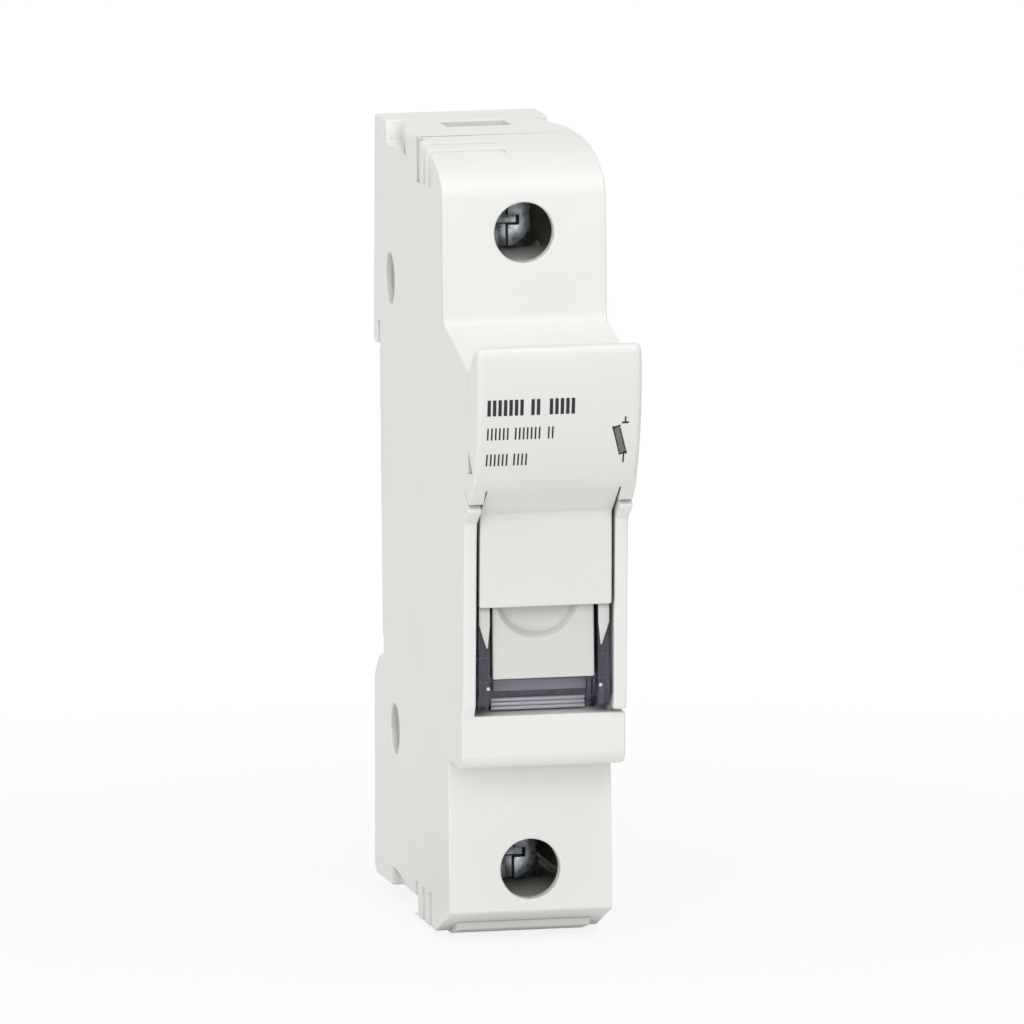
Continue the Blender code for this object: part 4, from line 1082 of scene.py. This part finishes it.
@dataclass
class TerminalScrew:
    """Terminal screw with a threaded shank and a slot crossed by a recess.

    Attributes:
        node, body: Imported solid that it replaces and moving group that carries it.
        level, front, tip: Height of its axis, depths of its head's front and its shank's end.
        head_radius, head_height, rim: Radius, height and rounding of the head.
        shank_radius, pitch: Outer radius of the thread and distance between its crests.
        overlap: How far the shank reaches into the head.
        recesses: Width, height and depth in millimetres of the slot and of what crosses it.
        recess_rounding: Rounding of their edges.
        root_share, end_share: Radius of the roots and of the shank's end over the outer radius.
    """

    node: str
    body: Body
    level: float
    front: float = -24.6 * MM
    head_radius: float = 2.9 * MM
    head_height: float = 3.1 * MM
    shank_radius: float = 2.5 * MM
    tip: float = -14.8 * MM
    pitch: float = 0.8 * MM
    overlap: float = 0.1 * MM
    rim: float = 0.35 * MM
    recess_rounding: float = 0.06 * MM
    recesses: tuple = ((1.0, 7.0, 1.3), (3.4, 1.0, 1.7))
    root_share: float = 0.84
    end_share: float = 0.78

    def build(self) -> None:
        """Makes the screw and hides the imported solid."""
        screw = joined([self.make_head(), self.make_shank()])
        screw.name = f"{self.node}_threaded"
        smooth(screw, 40.0)
        dress(screw, ZINC)
        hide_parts(self.node)
        ride(screw, self.body)

    def make_head(self) -> Object:
        """Cheese head with a domed rim, a slot and a cross recess.

        Returns:
            The head.
        """
        middle = Vector((0.0, self.front + self.head_height / 2, self.level))
        head = add_cylinder("head", self.head_radius, self.head_height, middle, Axis.Y, 64)
        add_bevel(head, self.rim, 60.0, 4)
        face = Vector((0.0, self.front, self.level))
        for width, height, depth in self.recesses:
            cutter = add_block("cutter", face, Vector((width, depth * 2, height)) * MM)
            slot = head.modifiers.new("slot", "BOOLEAN")
            slot.object = cutter
            slot.solver = "EXACT"
            apply_modifiers(head)
            bpy.data.objects.remove(cutter)
        add_bevel(head, self.recess_rounding, 50.0, 2)
        return head

    def make_shank(self) -> Object:
        """Shank whose rings of crests and roots stand for the thread.

        Returns:
            The shank.
        """
        start = self.front + self.head_height - self.overlap
        length = self.tip - start
        middle = Vector((0.0, start + length / 2, self.level))
        shank = add_cylinder("shank", self.shank_radius, length, middle, Axis.Y, 40)
        activate(shank)
        bpy.ops.object.mode_set(mode="EDIT")
        rings = int(length / (self.pitch / 2))
        for ring in range(1, rings):
            bpy.ops.mesh.select_all(action="SELECT")
            plane = (0.0, start + ring * self.pitch / 2, self.level)
            bpy.ops.mesh.bisect(plane_co=plane, plane_no=(0.0, 1.0, 0.0))
        bpy.ops.object.mode_set(mode="OBJECT")
        for vertex in shank.data.vertices:
            ring = round((vertex.co.y - start) / (self.pitch / 2))
            if ring % 2 or ring >= rings:
                share = self.root_share if ring < rings else self.end_share
                vertex.co.x *= share
                vertex.co.z = self.level + (vertex.co.z - self.level) * share
        return shank


@dataclass
class Paired:
    """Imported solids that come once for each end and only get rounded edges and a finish.

    Attributes:
        kinds: Node and piece with {} for the end's name, rounding in millimetres, finish, body
            and slot of each kind.
    """

    kinds: tuple = ()

    def build(self) -> None:
        """Makes the pieces of both ends."""
        for end in ("upper", "lower"):
            self.build_end(end)

    def build_end(self, end: str) -> None:
        """Makes the pieces of one end.

        Args:
            end: The end's name.
        """
        for node, name, rounding, finish, body, slot in self.kinds:
            piece = rounded_copy(node.format(end), name.format(end), rounding * MM)
            ride(dress(piece, finish), Body(body.format(end)))


@dataclass
class FuseLink(Paired):
    """Ceramic tube, plated caps and the element inside."""

    kinds: tuple = (("fuse_cap_{}", "{}_plated_cap", 0.15, NICKEL, "carrier", "cap"),)

    def build(self) -> None:
        """Dresses the tube and the element and makes the caps."""
        dress(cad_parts["fuse_tube"], CERAMIC)
        dress(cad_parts["fuse_element"], SILVER)
        super().build()


@dataclass
class Terminals(Paired):
    """Screws, clamp cages, contacts and jaw springs, with the level of each end's screw."""

    levels: tuple = (("upper", 31.3 * MM), ("lower", -36.2 * MM))
    kinds: tuple = (
        ("{}_cage", "{}_clamp_cage", 0.2, ZINC, "{}_cage_body", "zinc"),
        ("{}_contact", "{}_folded_contact", 0.15, TINNED, "base", "contact"),
        ("{}_jaw_spring", "{}_sprung_clip", 0.08, SPRING, "base", "spring"),
    )

    def build(self) -> None:
        """Makes the screws and the other pieces."""
        for end, level in self.levels:
            TerminalScrew(f"{end}_screw", Body(f"{end}_screw_body"), level).build()
            self.build_end(end)


@dataclass
class Rivets(Paired):
    """The two rivets that hold the cover to the body."""

    kinds: tuple = (("rivet_{}", "{}_hollow_rivet", 0.12, RIVET_STEEL, "base", "zinc"),)


@dataclass
class RailClip:
    """Sliding catch and its coil spring.

    Attributes:
        rounding: Radius of the catch's edges.
        spring_foot: Level of the end of the spring that the base holds. Not used.
        spring_length: Length of the spring at rest. Not used.
        travel: How far the catch slides and shortens the spring. Not used.
    """

    rounding: float = 0.25 * MM
    spring_foot: float = -33.37 * MM
    spring_length: float = 9.07 * MM
    travel: float = 3.0 * MM

    def build(self) -> None:
        """Makes the catch and its coil spring."""
        clip = rounded_copy("rail_clip", "rail_catch", self.rounding, 3)
        ride(dress(clip, CLIP_WHITE), Body.CLIP)
        spring = dress(joined_copy("rail_clip_spring", "coil_return_spring"), SPRING)
        smooth(spring)
        ride(spring, Body.BASE)
        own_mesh(spring)


@dataclass
class Studio:
    """Pale floor, soft lights and the camera at the photograph's viewing angle.

    Attributes:
        azimuth, elevation, roll: Turns of the camera in degrees, from straight in front.
        distance, target: How far the camera is from the point that it looks at.
        scale, centre, picture: Pixels for each millimetre, target's pixel and side in pixels.
        sensor, clip: Side of the sensor in millimetres, nearest and farthest distance seen.
        world_light: Strength of the surroundings, and what is added where they are seen.
        floor_level, floor_tone: Height and grey of the floor.
        floor_fade: Where its fade to plain white begins and ends, and the white share before.
        lamps: Name, place, side in metres and power in watts of each soft light.
    """

    azimuth: float = -11.2
    elevation: float = 7.95
    roll: float = 0.57
    distance: float = 1.8
    scale: float = 9.465
    target: Vector = field(default_factory=lambda: Vector((0.0, -0.025, 0.0)))
    centre: tuple[float, float] = (506.9, 514.6)
    picture: float = 1024.0
    sensor: float = 36.0
    clip: tuple[float, float] = (0.1, 50.0)
    world_light: tuple[float, float] = (0.5, 0.5)
    floor_level: float = -0.04405
    floor_tone: float = 0.86
    floor_fade: tuple[float, float, float] = (0.05, 0.14, 0.85)
    lamps: tuple = (
        ("key_softbox", (-0.13, -0.62, 0.24), 0.36, 1.2),
        ("left_fill", (-1.1, -0.5, 0.35), 0.8, 2.83),
        ("top_softbox", (0.05, -0.3, 1.05), 0.8, 4.0),
    )

    def build(self) -> None:
        """Makes the camera, the world, the floor and the lamps."""
        self.make_camera()
        self.make_world()
        self.make_floor()
        self.make_lamps()
        bpy.context.scene.view_settings.view_transform = "Standard"

    def make_camera(self) -> None:
        """Places the camera and shifts its frame to the photograph's."""
        angles = (self.azimuth, self.elevation, self.roll)
        turn, rise, roll = (math.radians(angle) for angle in angles)
        flat = math.cos(rise)
        back = Vector((math.sin(turn) * flat, -math.cos(turn) * flat, math.sin(rise)))
        right = Vector((math.cos(turn), math.sin(turn), 0.0))
        up = back.cross(right)
        side = right * math.cos(roll) - up * math.sin(roll)
        top = up * math.cos(roll) + right * math.sin(roll)
        lens = bpy.data.cameras.new("photo_camera")
        lens.sensor_width = self.sensor
        lens.lens = self.sensor * self.scale * self.distance / MM / self.picture
        lens.shift_x = (self.picture / 2 - self.centre[0]) / self.picture
        lens.shift_y = (self.centre[1] - self.picture / 2) / self.picture
        lens.clip_start, lens.clip_end = self.clip
        camera = bpy.data.objects.new("photo_camera", lens)
        turned = Matrix((side, top, back)).transposed().to_4x4()
        camera.matrix_world = Matrix.Translation(self.target + back * self.distance) @ turned
        bpy.context.scene.collection.objects.link(camera)
        bpy.context.scene.camera = camera

    def make_world(self) -> None:
        """Soft white surroundings that the camera sees as plain white."""
        world = bpy.data.worlds.new("white_room")
        bpy.context.scene.world = world
        world.use_nodes = True
        bench = NodeBench(world.node_tree)
        light, gain = self.world_light
        strength = bench.maths("MULTIPLY_ADD", bench.seen(), gain, light)
        shade = world.node_tree.nodes["Background"]
        bench.feed_all(shade, {"Color": (1.0, 1.0, 1.0, 1.0), "Strength": strength})

    def make_floor(self) -> None:
        """Wide white floor that keeps the object's shadow near it and fades to plain white."""
        deselect_all()
        bpy.ops.mesh.primitive_plane_add(size=12.0, location=(0.0, 0.0, self.floor_level))
        floor = bpy.context.object
        floor.name = "studio_floor"
        look = bpy.data.materials.new("studio_white")
        look.use_nodes = True
        bench = NodeBench(look.node_tree)
        shader = look.node_tree.nodes["Principled BSDF"]
        tone = (self.floor_tone,) * 3 + (1.0,)
        bench.feed_all(shader, {"Base Color": tone, "Roughness": 0.9, "Specular IOR Level": 0.1})
        place = bench.add("ShaderNodeTexCoord").outputs["Object"]
        reach = bench.add("ShaderNodeVectorMath", operation="LENGTH", Vector=place)
        near, far, least = self.floor_fade
        fade = bench.add(
            "ShaderNodeMapRange", clamp=True, Value=reach.outputs["Value"],
            From_Min=near, From_Max=far, To_Min=least,
        )
        share = bench.maths("MULTIPLY", fade.outputs["Result"], bench.seen())
        glow = bench.add("ShaderNodeEmission", Strength=1.0)
        mix = bench.add("ShaderNodeMixShader")
        for socket, feed in zip(mix.inputs, (share, shader.outputs[0], glow.outputs[0])):
            bench.feed(socket, feed)
        bench.feed_all(look.node_tree.nodes["Material Output"], {"Surface": mix.outputs[0]})
        floor.data.materials.append(look)

    def make_lamps(self) -> None:
        """Adds square area lamps that look at the object."""
        for name, place, size, power in self.lamps:
            light = bpy.data.lights.new(name, "AREA")
            light.size, light.energy = size, power
            lamp = bpy.data.objects.new(name, light)
            lamp.location = place
            lamp.rotation_euler = (Vector(place) - self.target).to_track_quat("Z", "Y").to_euler()
            bpy.context.scene.collection.objects.link(lamp)


def main() -> None:
    """Builds every sub-assembly and the studio."""
    logging.basicConfig(level=logging.INFO, format="%(name)s: %(message)s")
    for part in (Housing(), Carrier(), FuseLink(), Terminals(), RailClip(), Rivets(), Studio()):
        LOG.info("building %s", type(part).__name__)
        part.build()
    deselect_all()


if __name__ == "__main__":
    main()
